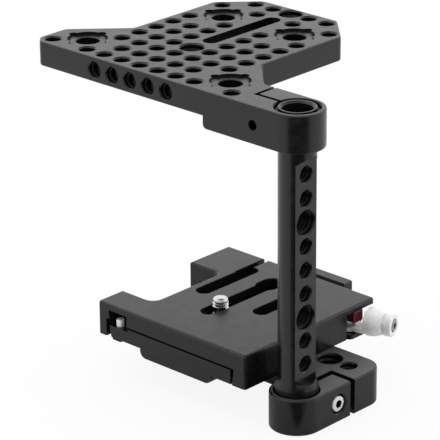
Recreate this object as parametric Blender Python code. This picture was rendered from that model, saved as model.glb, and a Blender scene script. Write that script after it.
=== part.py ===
"""Half cage for a small camera: a perforated top plate on a threaded post, a clamp bracket, and a
quick-release base whose camera plate slides on a dovetail and is locked by a lever.

Sizes are millimetres, and each mesh is scaled to metres when it is made. u runs along the front
edge and v away from it, both from the top plate's first hole. z is the height above the table.
A cutter runs PAST beyond each face that it opens.
"""
import math

import bmesh
import bpy
from mathutils import Matrix, Vector

# Driving dimensions
MM = 0.001
GAP = 0.3
PITCH = 9.525
MARGIN = 5.7
HEIGHT = 128.0
TAP_SMALL = 3.1
TAP_LARGE = 4.75
EDGE_BREAK = 0.7
SOFTEN = 0.4
PAST = 2.0
HAIR = 0.1

# Finishes: colour, roughness and metallic value
ANODISED = (0.033, 0.033, 0.034), 0.45, 0.6
BLACK_STEEL = (0.03, 0.03, 0.032), 0.35, 1.0
BRIGHT_STEEL = (0.75, 0.75, 0.74), 0.25, 1.0
BRASS = (0.45, 0.36, 0.16), 0.4, 1.0
RED_PLASTIC = (0.55, 0.01, 0.02), 0.35, 0.0

# Top plate
PLATE_THICK = 10.0
LAST_ROW = 9
SMALL_HOLE_ROWS = {
    0: (0, 2, 3, 4, 5, 6, 7, 8, 10),
    1: (3, 4, 5, 6, 7),
    2: (2, 3, 4, 5, 6, 7, 8),
    3: (2, 3, 4, 6, 7, 8),
    4: (2, 3, 4, 6, 7, 8),
    5: (2, 3, 4, 6, 7, 8),
    6: (2, 4, 6, 8),
    8: (2, 4, 6, 8),
    9: (3, 4, 6, 7),
}
LARGE_HOLES = ((5, 3), (5, 9))
BOLT_HOLES = ((1, 1), (9, 1), (3, 7), (7, 7))
BOLT_HOLE_R = 4.6
COUNTERBORE_R = 8.0
COUNTERBORE_DEEP = 1.1
LOBE_R, LOBE_OUT = 1.75, 7.9
SLOT_COLUMN = 5
SLOT_FROM_V, SLOT_TO_V, SLOT_WIDE = 36.0, 78.0, 6.8
FRONT_HOLES = (3, 4, 5, 6, 7)
SHOULDER_V = 31.0
BACK_CHAMFER = 14.5
NOSE_CHAMFER = 4.0
CORNER_ROUND = 1.2

# Split clamps, one on the top plate's arm and one on the bracket
POST_U, POST_V = 123.3, 4.9
CLAMP_R = POST_V + MARGIN
BORE_R = 8.7
UPPER_SLIT, LOWER_SLIT = 1.6, 2.6
SLIT_REACH = 20.2
ARM_DEEP = 15.0
ARM_FROM_U = 85.4
ARM_ROUND = 2.0
SCREW_REACH = 12.5
SCREW_HEAD_R, SCREW_HEAD_H, SCREW_SHANK_R = 3.5, 3.6, 2.0
SCREW_SINK = 4.2
SCREW_AIR = 0.35
SCREW_SOCKET_R, SCREW_SOCKET_DEEP = 1.75, 2.0
CLAMP_SHANK, BASE_SHANK, STOP_SHANK = 15.0, 14.0, 8.0

# Post
POST_END_R = 8.4
POST_R = 7.25
POST_CHAMFER = 0.8
POST_FOOT = 0.6
FLARE_LOW, FLARE_HIGH = 17.0, 19.5
COLLAR_LOW, COLLAR_HIGH = 113.5, 115.0
SOCKET_R, SOCKET_DEEP = 5.8, 14.0
FLAT_OUT = 4.3
FLAT_LOW, FLAT_HIGH, FLAT_MILL_R = 19.0, 110.0, 8.0
POST_HOLE_TOP = 102.7
POST_HOLES = 9
POST_LARGE_HOLES = (2, 6)

# Bracket
BRACKET_HIGH = 14.7
BAR_FRONT, BAR_BACK, BAR_END_U = 24.0, 44.5, 45.0
BAR_CORNER, BAR_END_CORNER, NECK_FILLET = 8.0, 5.0, 8.0
BRACKET_LARGE_HOLE = (114.5, 34.0)
BRACKET_SMALL_HOLE = (124.0, 34.0)
BASE_SCREW_V = 34.25
BASE_SCREW_US = (59.0, 73.0, 87.0)
BASE_SCREW_ROOF = 1.2
CLAMP_SCREW_Z = 7.4

# Receiver of the quick-release base
BASE_FRONT_V, BASE_BACK_V = -9.5, 66.5
BASE_LOW, BASE_TOP = BRACKET_HIGH + GAP, 21.6
BASE_LEFT, BASE_RIGHT, DOVETAIL = 37.1, 103.9, 1.0
REBATE_U, REBATE_Z = 47.3, 19.0
BOSS_LEFT, BOSS_RIGHT, BOSS_LOW, BOSS_ROUND = 54.0, 92.0, 11.3, 3.0
RECESS_FLOOR = 16.8
SHOE_FROM_V, SHOE_TO_V, SHOE_WALL_U, SHOE_SLOPE = 38.4, 53.2, 99.5, 15.0
RECESS_WALL_U = 97.6
LUG_LEFT, LUG_RIGHT, LUG_FROM_V, LUG_TO_V, LUG_ROUND = 91.6, 110.0, 51.4, 61.9, 2.0

# Camera plate
CAM_FRONT_V, CAM_BACK_V = BASE_FRONT_V, 65.9
CAM_LEFT, CAM_RIGHT = 31.3, 110.0
CAM_TOP, CAM_WEB = 29.0, BASE_TOP + GAP
CAM_CORNER, CAM_RIM = 0.8, 1.1
LEG_AIR = 0.4
NOTCH_U, NOTCH_FROM_V, NOTCH_TO_V, NOTCH_ROUND = 48.5, 4.2, 43.0, 4.0
WINDOW_LEFT, WINDOW_RIGHT, WINDOW_TOP = 37.2, 47.0, 26.4
SLOT_R = 3.4
SIDE_SLOT_US = (55.5, 86.2)
SIDE_SLOT_FROM_V, SIDE_SLOT_TO_V = 22.5, 56.0
MID_SLOT_U, MID_SLOT_FROM_V, MID_SLOT_TO_V = 70.8, 9.0, 53.0
MID_WIDE_FROM_V, MID_WIDE_TO_V, MID_WIDE_R = 41.5, 54.0, 4.8
CHANNEL_R, CHANNEL_TOP, CHANNEL_TO_V = 6.2, 25.9, 56.0
GROOVE_LEFT, GROOVE_RIGHT, GROOVE_FROM_V, GROOVE_FLOOR = 51.4, 54.4, 48.0, 25.0
FLANGE_LOW, FLANGE_FROM_U, FLANGE_FROM_V = 26.5, 90.9, 50.8
LEG_STEP_U, LEG_STEP_FROM_V = 108.6, 16.0

# Rear stop
STOP_LEFT, STOP_RIGHT, STOP_FRONT_V, STOP_BACK_V = 60.0, 93.0, BASE_BACK_V + GAP, 73.0
STOP_SCREW_US, STOP_SCREW_Z, STOP_SCREW_DEEP = (66.5, 86.5), 18.4, 8.5

# Camera screw and its washer
CAM_SCREW_V, CAM_SCREW_R, CAM_SCREW_TIP = 19.0, 3.15, 32.6
CAM_SCREW_CHAMFER = 0.7
CAM_HEAD_R, CAM_HEAD_LOW, CAM_HEAD_HIGH = 5.6, 22.3, 24.5
WASHER_R, WASHER_BORE, WASHER_LOW, WASHER_HIGH = 5.8, 3.4, 24.8, 25.6
COIN_SLOT_WIDE, COIN_SLOT_DEEP = 1.4, 1.1

# Lever, its lock and its catch
PIVOT_U, PIVOT_V, PIVOT_R = 103.8, 57.85, 2.0
LEVER_TURN, LEVER_OPEN = 17.3, 75.0
EAR_R, EAR_LOW, EAR_HIGH, EAR_HALF, EAR_END = 5.0, 17.1, 18.4, 3.1, 8.0
CAM_AIM, CAM_REACH, CAM_DROP = 262.0, 6.7, 25.0
LEVER_Z, BELL_R, BELL_FROM, BELL_FULL = 21.1, 5.75, 2.0, 10.0
WAIST_R, WAIST, BELL_TIP_R, BELL_TIP = 5.35, 12.6, 4.4, 15.3
JAW_U, JAW_TOP, JAW_TO = 108.4, 19.4, 8.9
MOUTH_TO, MOUTH_TOP, HORN_FROM, HORN_TOP, HORN_TO = 9.0, 20.6, 8.0, 26.2, 10.5
KNOB_R, KNOB_END, KNOB_FLARE, KNOB_ROUND = 4.6, 19.3, 0.7, 0.6
KNOB_SINK_R, KNOB_SINK, KNOB_HEAD_H, KNOB_SOCKET_R = 2.7, 1.6, 1.5, 1.3
SHOE_OUT_U, SHOE_LOW, SHOE_HIGH, SHOE_BACK_V = 103.2, 17.1, 21.3, 50.65
PIVOT_HEAD_R, PIVOT_HEAD_H = 2.8, 0.9
BUTTON_IN, BUTTON_OUT, BUTTON_LOW, BUTTON_HIGH = 105.8, 109.6, 21.0, 26.1
BUTTON_V, BUTTON_HALF, BUTTON_ROUND = 57.0, 2.8, 1.4
STEM_R, STEM_Z, STEM_END = 1.2, 23.5, 93.0
GUIDE_LEFT, GUIDE_RIGHT, GUIDE_HALF, GUIDE_TOP = 94.6, 97.4, 2.2, 26.2
CLIP_R, CLIP_BORE, CLIP_THICK, CLIP_U, CLIP_MOUTH = 1.7, 0.9, 0.6, 94.0, 40.0
CLIP_NECK_R, CLIP_AIR = 0.75, 0.1
BUTTON_COIL_R, BUTTON_COIL_TURNS, BUTTON_WIRE_R = 1.8, 5, 0.25
COIL_STEPS = 10

# Stop pin
PIN_U, PIN_V, PIN_R, PIN_TOP = 40.85, -6.75, 1.55, 22.9
PIN_FLANGE_R, PIN_FLANGE_LOW, PIN_FLANGE_HIGH = 2.1, 16.9, 17.4
PIN_POCKET_R, PIN_POCKET_TOP = 2.4, 17.7
PIN_COVER_HALF, PIN_COVER_LOW, PIN_COVER_ROUND = 2.6, 13.7, 1.0
PIN_COIL_LOW_R, PIN_COIL_HIGH_R, PIN_COIL_TURNS, PIN_WIRE_R = 1.8, 1.0, 2, 0.15

# The origin is under the middle of the whole object, on the table
ORIGIN_U = (POST_U + CLAMP_R - MARGIN) / 2
ORIGIN_V = (LAST_ROW * PITCH + MARGIN + BASE_FRONT_V) / 2
SHIFT = Vector((-ORIGIN_U, -ORIGIN_V, 0.0))
UP = Vector((0.0, 0.0, 1.0))


def finish(name, colour, roughness, metallic):
    """A plain Principled material for one kind of surface."""
    material = bpy.data.materials.new(name)
    material.use_nodes = True
    shader = material.node_tree.nodes["Principled BSDF"]
    shader.inputs["Base Color"].default_value = (*colour, 1.0)
    shader.inputs["Roughness"].default_value = roughness
    shader.inputs["Metallic"].default_value = metallic
    return material


def make_object(name, bm, at=(0.0, 0.0, 0.0)):
    """Turn a bmesh in millimetres into an object in metres, with its origin at one of its points."""
    origin = Vector(at)
    bmesh.ops.recalc_face_normals(bm, faces=bm.faces)
    bmesh.ops.translate(bm, verts=bm.verts, vec=-origin)
    bmesh.ops.scale(bm, verts=bm.verts, vec=(MM, MM, MM))
    mesh = bpy.data.meshes.new(name)
    bm.to_mesh(mesh)
    bm.free()
    obj = bpy.data.objects.new(name, mesh)
    obj.location = (origin + SHIFT) * MM
    bpy.context.scene.collection.objects.link(obj)
    return obj


def piece(name, bm, look, at=(0.0, 0.0, 0.0)):
    """A sub-part with its own material; at is on its joint's axis if it moves."""
    obj = make_object(name, bm, at)
    obj.data.materials.append(finish(name, *look))
    obj.data.shade_smooth()
    obj.data.set_sharp_from_angle(angle=math.radians(30.0))
    return obj


def boolean(obj, name, bm, operation="DIFFERENCE"):
    """Cut a shape out of a piece, or join it on, with a live modifier."""
    cutter = make_object(name, bm)
    cutter.hide_render = True
    cutter.display_type = "WIRE"
    modifier = obj.modifiers.new(name, "BOOLEAN")
    modifier.operation = operation
    modifier.solver = "EXACT"
    modifier.object = cutter


def spiral(centre, start_r, end_r, start, end, steps):
    """Points from one angle to another, in degrees, whose radius changes at a steady rate."""
    points = []
    for n in range(steps + 1):
        part = n / steps
        angle = math.radians(start + (end - start) * part)
        radius = start_r + (end_r - start_r) * part
        points.append((centre[0] + radius * math.cos(angle), centre[1] + radius * math.sin(angle)))
    return points


def arc(centre, radius, start, end, steps):
    """Points of an arc from one angle to another, in degrees, with both ends."""
    return spiral(centre, radius, radius, start, end, steps)


def stadium(centre_u, from_v, to_v, radius, steps=10):
    """Outline of a slot with round ends that runs along v."""
    far = arc((centre_u, to_v - radius), radius, 0.0, 180.0, steps)
    near = arc((centre_u, from_v + radius), radius, 180.0, 360.0, steps)
    return far + near


def extrude(bm, points, path):
    """Close a flat outline into a face and extrude it along a vector."""
    face = bm.faces.new([bm.verts.new(p) for p in points])
    moved = bmesh.ops.extrude_face_region(bm, geom=[face])["geom"]
    verts = [item for item in moved if isinstance(item, bmesh.types.BMVert)]
    bmesh.ops.translate(bm, verts=verts, vec=path)


def prism(bm, outline, low, high):
    """Extrude a plan outline from one height to another."""
    extrude(bm, [(u, v, low) for u, v in outline], (0.0, 0.0, high - low))


def bar(bm, section, from_v, to_v):
    """Extrude a section drawn in u and z along v."""
    extrude(bm, [(u, from_v, z) for u, z in section], (0.0, to_v - from_v, 0.0))


def block(bm, low, high):
    """A rectangular block between two corners."""
    outline = [(low[0], low[1]), (high[0], low[1]), (high[0], high[1]), (low[0], high[1])]
    prism(bm, outline, low[2], high[2])


def turned(bm, profile, start, direction, segments):
    """Spin a profile of (radius, distance) points round an axis, and place it."""
    before = set(bm.verts)
    verts = [bm.verts.new((radius, 0.0, along)) for radius, along in profile]
    edges = [bm.edges.new(pair) for pair in zip(verts, verts[1:])]
    bmesh.ops.spin(bm, geom=verts + edges, cent=(0.0, 0.0, 0.0), axis=UP,
                   angle=math.tau, steps=segments, use_merge=True)
    spun = [vert for vert in bm.verts if vert not in before]
    bmesh.ops.remove_doubles(bm, verts=spun, dist=0.0001)
    spun = [vert for vert in bm.verts if vert not in before]
    turn = UP.rotation_difference(Vector(direction)).to_matrix().to_4x4()
    bmesh.ops.transform(bm, matrix=Matrix.Translation(start) @ turn, verts=spun)


def rod(bm, start, end, radius, segments=16):
    """A cylinder from one point to another."""
    start, end = Vector(start), Vector(end)
    turn = UP.rotation_difference(end - start).to_matrix().to_4x4()
    place = Matrix.Translation((start + end) / 2) @ turn
    bmesh.ops.create_cone(bm, cap_ends=True, segments=segments, radius1=radius, radius2=radius,
                          depth=(end - start).length, matrix=place)


def break_edges(bm, offset, chosen, segments=1):
    """Bevel the edges that a test picks."""
    edges = [edge for edge in bm.edges if chosen(edge)]
    bmesh.ops.bevel(bm, geom=edges, offset=offset, offset_type="OFFSET", segments=segments,
                    profile=0.5, affect="EDGES", material=-1)


def is_upright_corner(edge):
    """A vertical edge where two side faces meet at a clear angle."""
    along = edge.verts[1].co - edge.verts[0].co
    return abs(along.z) > 0.99 * along.length and edge.calc_face_angle(0.0) > math.radians(25.0)


def is_outer_rim(edge):
    """A level edge where a top or bottom face meets a side."""
    level = abs(edge.verts[0].co.z - edge.verts[1].co.z) < 0.001
    return level and edge.is_convex and edge.calc_face_angle(0.0) > math.radians(60.0)


def clamp_outline(along, out, slit):
    """Bore of a split clamp with its slit, which runs along the arm and then out of its side."""
    half = slit / 2
    mouth = math.degrees(math.asin(half / BORE_R))
    local = arc((0.0, 0.0), BORE_R, mouth, 360.0 - mouth, 36)
    local += [(SLIT_REACH + half, -half), (SLIT_REACH + half, CLAMP_R + PAST)]
    local += [(SLIT_REACH - half, CLAMP_R + PAST), (SLIT_REACH - half, half)]
    post, along, out = Vector((POST_U, POST_V)), Vector(along), Vector(out)
    return [post + along * a + out * b for a, b in local]


def clamp_screw_seat(along, out, z):
    """The clamp screw's place: the bottom of its counterbore, and the way its head faces."""
    u = POST_U + SCREW_REACH * along[0] + (CLAMP_R - SCREW_SINK) * out[0]
    v = POST_V + SCREW_REACH * along[1] + (CLAMP_R - SCREW_SINK) * out[1]
    return Vector((u, v, z)), Vector((*out, 0.0))


def screw_hole(bm, seat, facing, length):
    """A clearance hole with a counterbore for a socket screw's head."""
    bore, sink = SCREW_SHANK_R + SCREW_AIR, SCREW_HEAD_R + SCREW_AIR
    mouth = SCREW_SINK + PAST
    profile = [(0.0, -length), (bore, -length), (bore, 0.0), (sink, 0.0), (sink, mouth), (0.0, mouth)]
    turned(bm, profile, seat, facing, 16)


def socket_screw(name, seat, facing, shank, look=BLACK_STEEL):
    """A socket-head screw whose head stands on a seat and whose shank runs the other way."""
    at = seat + facing * GAP
    profile = [
        (0.0, -shank), (SCREW_SHANK_R - SOFTEN, -shank), (SCREW_SHANK_R, SOFTEN - shank),
        (SCREW_SHANK_R, 0.0), (SCREW_HEAD_R, 0.0), (SCREW_HEAD_R, SCREW_HEAD_H - SOFTEN),
        (SCREW_HEAD_R - SOFTEN, SCREW_HEAD_H), (0.0, SCREW_HEAD_H),
    ]
    bm = bmesh.new()
    turned(bm, profile, at, facing, 18)
    screw = piece(name, bm, look, at)
    bm = bmesh.new()
    floor, mouth = SCREW_HEAD_H - SCREW_SOCKET_DEEP, SCREW_HEAD_H + PAST
    rod(bm, at + facing * floor, at + facing * mouth, SCREW_SOCKET_R, 6)
    boolean(screw, "cut_socket_" + name, bm)


def build_top_plate():
    """Perforated plate whose arm ends in the upper clamp."""
    left, right = 2 * PITCH - MARGIN, 8 * PITCH + MARGIN
    wing, front = -MARGIN, -MARGIN
    back, arm_back = LAST_ROW * PITCH + MARGIN, POST_V + CLAMP_R
    outline = [(wing + NOSE_CHAMFER, front)]
    outline += arc((POST_U, POST_V), CLAMP_R, -90.0, 90.0, 20)
    outline += [(right + SHOULDER_V - arm_back, arm_back), (right, SHOULDER_V)]
    outline += [(right, back - BACK_CHAMFER), (right - BACK_CHAMFER, back)]
    outline += [(left + BACK_CHAMFER, back), (left, back - BACK_CHAMFER)]
    outline += [(left, SHOULDER_V), (wing, SHOULDER_V - left + wing), (wing, front + NOSE_CHAMFER)]
    bm = bmesh.new()
    prism(bm, outline, HEIGHT - PLATE_THICK, HEIGHT)
    break_edges(bm, CORNER_ROUND, is_upright_corner, 2)
    bmesh.ops.recalc_face_normals(bm, faces=bm.faces)
    below = [face for face in bm.faces if face.normal.z < -0.9]
    edges = {edge for face in below for edge in face.edges}
    verts = {vert for face in below for vert in face.verts}
    bmesh.ops.bisect_plane(bm, geom=[*below, *edges, *verts], plane_co=(ARM_FROM_U, 0.0, 0.0),
                           plane_no=(1.0, 0.0, 0.0))
    bm.normal_update()
    arm = [f for f in bm.faces if f.normal.z < -0.9 and f.calc_center_median().x > ARM_FROM_U]
    moved = bmesh.ops.extrude_face_region(bm, geom=arm)["geom"]
    lowered = [item for item in moved if isinstance(item, bmesh.types.BMVert)]
    bmesh.ops.translate(bm, verts=lowered, vec=(0.0, 0.0, PLATE_THICK - ARM_DEEP))
    bmesh.ops.delete(bm, geom=arm, context="FACES_ONLY")
    bmesh.ops.dissolve_limit(bm, angle_limit=0.001, verts=bm.verts, edges=bm.edges)

    def is_arm_heel(edge):
        low = all(abs(v.co.z - HEIGHT + ARM_DEEP) < 0.01 for v in edge.verts)
        return low and all(abs(v.co.x - ARM_FROM_U) < 0.01 for v in edge.verts)

    break_edges(bm, ARM_ROUND, is_arm_heel, 3)
    break_edges(bm, EDGE_BREAK, is_outer_rim)
    plate = piece("top_plate", bm, ANODISED, (POST_U, POST_V, HEIGHT))

    bm = bmesh.new()
    through = (HEIGHT - ARM_DEEP - PAST, HEIGHT + PAST)
    for row, columns in SMALL_HOLE_ROWS.items():
        for column in columns:
            u, v = column * PITCH, row * PITCH
            rod(bm, (u, v, through[0]), (u, v, through[1]), TAP_SMALL, 14)
    for column, row in LARGE_HOLES:
        u, v = column * PITCH, row * PITCH
        rod(bm, (u, v, through[0]), (u, v, through[1]), TAP_LARGE, 20)
    for column, row in BOLT_HOLES:
        top = HEIGHT - COUNTERBORE_DEEP
        profile = [(0.0, through[0]), (BOLT_HOLE_R, through[0]), (BOLT_HOLE_R, top)]
        profile += [(COUNTERBORE_R, top), (COUNTERBORE_R, through[1]), (0.0, through[1])]
        turned(bm, profile, (column * PITCH, row * PITCH, 0.0), UP, 20)
    slot = stadium(SLOT_COLUMN * PITCH, SLOT_FROM_V, SLOT_TO_V, SLOT_WIDE / 2)
    prism(bm, slot, *through)
    boolean(plate, "cut_plate_holes", bm)

    # Four small lobes round each counterbore
    bm = bmesh.new()
    for column, row in BOLT_HOLES:
        for du, dv in ((LOBE_OUT, 0.0), (0.0, LOBE_OUT), (-LOBE_OUT, 0.0), (0.0, -LOBE_OUT)):
            u, v = column * PITCH + du, row * PITCH + dv
            rod(bm, (u, v, HEIGHT - COUNTERBORE_DEEP), (u, v, HEIGHT + PAST), LOBE_R, 10)
    boolean(plate, "cut_counterbore_lobes", bm)

    bm = bmesh.new()
    middle = HEIGHT - PLATE_THICK / 2
    for column in FRONT_HOLES:
        rod(bm, (column * PITCH, -2 * MARGIN, middle), (column * PITCH, 0.0, middle), TAP_SMALL, 14)
    boolean(plate, "cut_front_holes", bm)

    along, out = (-1.0, 0.0), (0.0, 1.0)
    bm = bmesh.new()
    prism(bm, clamp_outline(along, out, UPPER_SLIT), *through)
    boolean(plate, "cut_upper_clamp", bm)
    seat, facing = clamp_screw_seat(along, out, HEIGHT - ARM_DEEP / 2)
    bm = bmesh.new()
    screw_hole(bm, seat, facing, 2 * CLAMP_R)
    boolean(plate, "cut_upper_clamp_screw", bm)
    socket_screw("upper_clamp_screw", seat, facing, CLAMP_SHANK)


def build_post():
    """Turned post with a socket in each end, one milled flat and a row of tapped holes."""
    low, high = POST_FOOT, HEIGHT
    inner, outer = SOCKET_R + POST_CHAMFER, POST_END_R - POST_CHAMFER
    profile = [
        (0.0, low + SOCKET_DEEP), (SOCKET_R, low + SOCKET_DEEP), (SOCKET_R, low + POST_CHAMFER),
        (inner, low), (outer, low), (POST_END_R, low + POST_CHAMFER),
        (POST_END_R, FLARE_LOW), (POST_R, FLARE_HIGH), (POST_R, COLLAR_LOW),
        (POST_END_R, COLLAR_HIGH), (POST_END_R, high - POST_CHAMFER), (outer, high),
        (inner, high), (SOCKET_R, high - POST_CHAMFER), (SOCKET_R, high - SOCKET_DEEP),
        (0.0, high - SOCKET_DEEP),
    ]
    bm = bmesh.new()
    turned(bm, profile, (POST_U, POST_V, 0.0), UP, 36)
    post = piece("post", bm, ANODISED, (POST_U, POST_V, 0.0))

    bm = bmesh.new()
    milled = stadium(POST_V, FLAT_LOW, FLAT_HIGH, FLAT_MILL_R)
    face = [(POST_U + FLAT_OUT, v, z) for v, z in milled]
    extrude(bm, face, (CLAMP_R, 0.0, 0.0))
    boolean(post, "cut_post_flat", bm)

    bm = bmesh.new()
    for n in range(POST_HOLES):
        z = POST_HOLE_TOP - n * PITCH
        radius, segments = (TAP_LARGE, 20) if n in POST_LARGE_HOLES else (TAP_SMALL, 14)
        rod(bm, (POST_U - CLAMP_R, POST_V, z), (POST_U + CLAMP_R, POST_V, z), radius, segments)
    boolean(post, "cut_post_holes", bm)


def build_bracket():
    """Lower clamp and the bar that carries the base, in one piece."""
    right, neck = POST_U + CLAMP_R, POST_U - CLAMP_R
    outline = arc((POST_U, POST_V), CLAMP_R, 180.0, 360.0, 20)
    outline += arc((right - BAR_CORNER, BAR_BACK - BAR_CORNER), BAR_CORNER, 0.0, 90.0, 6)
    end = BAR_END_U + BAR_END_CORNER
    outline += arc((end, BAR_BACK - BAR_END_CORNER), BAR_END_CORNER, 90.0, 180.0, 5)
    outline += arc((end, BAR_FRONT + BAR_END_CORNER), BAR_END_CORNER, 180.0, 270.0, 5)
    outline += arc((neck - NECK_FILLET, BAR_FRONT - NECK_FILLET), NECK_FILLET, 90.0, 0.0, 6)
    bm = bmesh.new()
    prism(bm, outline, 0.0, BRACKET_HIGH)
    bmesh.ops.recalc_face_normals(bm, faces=bm.faces)
    break_edges(bm, EDGE_BREAK, is_outer_rim)
    bracket = piece("side_arm_bracket", bm, ANODISED)

    through = (-PAST, BRACKET_HIGH + PAST)
    along, out = (0.0, 1.0), (1.0, 0.0)
    bm = bmesh.new()
    prism(bm, clamp_outline(along, out, LOWER_SLIT), *through)
    tapped = (BRACKET_LARGE_HOLE, TAP_LARGE, 20), (BRACKET_SMALL_HOLE, TAP_SMALL, 14)
    for (u, v), radius, segments in tapped:
        rod(bm, (u, v, through[0]), (u, v, through[1]), radius, segments)
    for u in BASE_SCREW_US:
        screw_hole(bm, Vector((u, BASE_SCREW_V, SCREW_SINK)), -UP, BRACKET_HIGH)
    boolean(bracket, "cut_lower_clamp", bm)
    seat, facing = clamp_screw_seat(along, out, CLAMP_SCREW_Z)
    bm = bmesh.new()
    screw_hole(bm, seat, facing, 2 * CLAMP_R)
    boolean(bracket, "cut_lower_clamp_screw", bm)

    socket_screw("lower_clamp_screw", seat, facing, CLAMP_SHANK, BRIGHT_STEEL)
    for n, u in enumerate(BASE_SCREW_US, 1):
        seat = Vector((u, BASE_SCREW_V, SCREW_SINK))
        socket_screw(f"bracket_screw_{n}", seat, -UP, BASE_SHANK)


def build_dovetail_base():
    """Receiver: dovetailed slab with a boss below, a pocket for the lock and a pin in its rebate."""
    left_rebate = BASE_LEFT + DOVETAIL * (BASE_TOP - REBATE_Z) / (BASE_TOP - BASE_LOW)
    section = [(BASE_LEFT + DOVETAIL, BASE_LOW), (BOSS_LEFT, BASE_LOW)]
    section += arc((BOSS_LEFT + BOSS_ROUND, BOSS_LOW + BOSS_ROUND), BOSS_ROUND, 180.0, 270.0, 4)
    section += arc((BOSS_RIGHT - BOSS_ROUND, BOSS_LOW + BOSS_ROUND), BOSS_ROUND, 270.0, 360.0, 4)
    section += [(BOSS_RIGHT, BASE_LOW), (BASE_RIGHT - DOVETAIL, BASE_LOW), (BASE_RIGHT, BASE_TOP)]
    section += [(REBATE_U, BASE_TOP), (REBATE_U, REBATE_Z), (left_rebate, REBATE_Z)]
    bm = bmesh.new()
    bar(bm, section, BASE_FRONT_V, BASE_BACK_V)
    base = piece("dovetail_base", bm, ANODISED)

    # The lug under the lever starts inside the slab, a hair above its underside
    bm = bmesh.new()
    low = (LUG_LEFT, LUG_FROM_V, BASE_LOW + HAIR)
    block(bm, low, (LUG_RIGHT, LUG_TO_V, (RECESS_FLOOR + BASE_TOP) / 2))
    break_edges(bm, LUG_ROUND, is_upright_corner, 3)
    boolean(base, "join_lever_lug", bm, "UNION")

    bm = bmesh.new()
    slope = math.tan(math.radians(SHOE_SLOPE))
    far_u = SHOE_WALL_U - slope * (SHOE_TO_V - SHOE_FROM_V)
    outside, behind = LUG_RIGHT + PAST, BASE_BACK_V + PAST
    pocket = [(outside, SHOE_FROM_V), (SHOE_WALL_U, SHOE_FROM_V), (far_u, SHOE_TO_V)]
    pocket += [(RECESS_WALL_U, SHOE_TO_V), (RECESS_WALL_U, behind), (outside, behind)]
    prism(bm, pocket, RECESS_FLOOR, BASE_TOP + PAST)
    boolean(base, "cut_lock_pocket", bm)

    bm = bmesh.new()
    low = (GUIDE_LEFT, BUTTON_V - GUIDE_HALF, BASE_TOP - PAST)
    block(bm, low, (GUIDE_RIGHT, BUTTON_V + GUIDE_HALF, GUIDE_TOP))
    boolean(base, "join_button_guide", bm, "UNION")

    # The bracket's bar lies in a channel across the boss
    bm = bmesh.new()
    low = (BOSS_LEFT - PAST, BAR_FRONT - GAP, BOSS_LOW - PAST)
    block(bm, low, (BOSS_RIGHT + PAST, BAR_BACK + GAP, BASE_LOW + HAIR))
    boolean(base, "cut_bar_channel", bm)

    bm = bmesh.new()
    bore, below = SCREW_SHANK_R + SCREW_AIR, BASE_LOW - PAST
    for u in BASE_SCREW_US:
        rod(bm, (u, BASE_SCREW_V, below), (u, BASE_SCREW_V, BASE_TOP - BASE_SCREW_ROOF), bore)
    for u in STOP_SCREW_US:
        rod(bm, (u, BASE_BACK_V - STOP_SCREW_DEEP, STOP_SCREW_Z), (u, behind, STOP_SCREW_Z), bore)
    rod(bm, (PIVOT_U, PIVOT_V, below), (PIVOT_U, PIVOT_V, RECESS_FLOOR + PAST), PIVOT_R + GAP)
    guide = (GUIDE_LEFT - PAST, BUTTON_V, STEM_Z), (GUIDE_RIGHT + PAST, BUTTON_V, STEM_Z)
    rod(bm, *guide, STEM_R + GAP)
    profile = [(0.0, below), (PIN_POCKET_R, below), (PIN_POCKET_R, PIN_POCKET_TOP)]
    profile += [(PIN_R + GAP, PIN_POCKET_TOP), (PIN_R + GAP, BASE_TOP), (0.0, BASE_TOP)]
    turned(bm, profile, (PIN_U, PIN_V, 0.0), UP, 16)
    boolean(base, "cut_base_holes", bm)


def build_rear_stop():
    """Bar across the receiver's far end, held by two screws."""
    bm = bmesh.new()
    block(bm, (STOP_LEFT, STOP_FRONT_V, BASE_LOW), (STOP_RIGHT, STOP_BACK_V, CAM_TOP))
    break_edges(bm, CORNER_ROUND, is_upright_corner, 2)
    break_edges(bm, EDGE_BREAK, is_outer_rim)
    stop = piece("rear_stop", bm, ANODISED)
    facing = Vector((0.0, 1.0, 0.0))
    bm = bmesh.new()
    for n, u in enumerate(STOP_SCREW_US, 1):
        seat = Vector((u, STOP_BACK_V - SCREW_SINK, STOP_SCREW_Z))
        screw_hole(bm, seat, facing, STOP_BACK_V - STOP_FRONT_V)
        socket_screw(f"rear_stop_screw_{n}", seat, facing, STOP_SHANK)
    boolean(stop, "cut_rear_stop_holes", bm)


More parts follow.
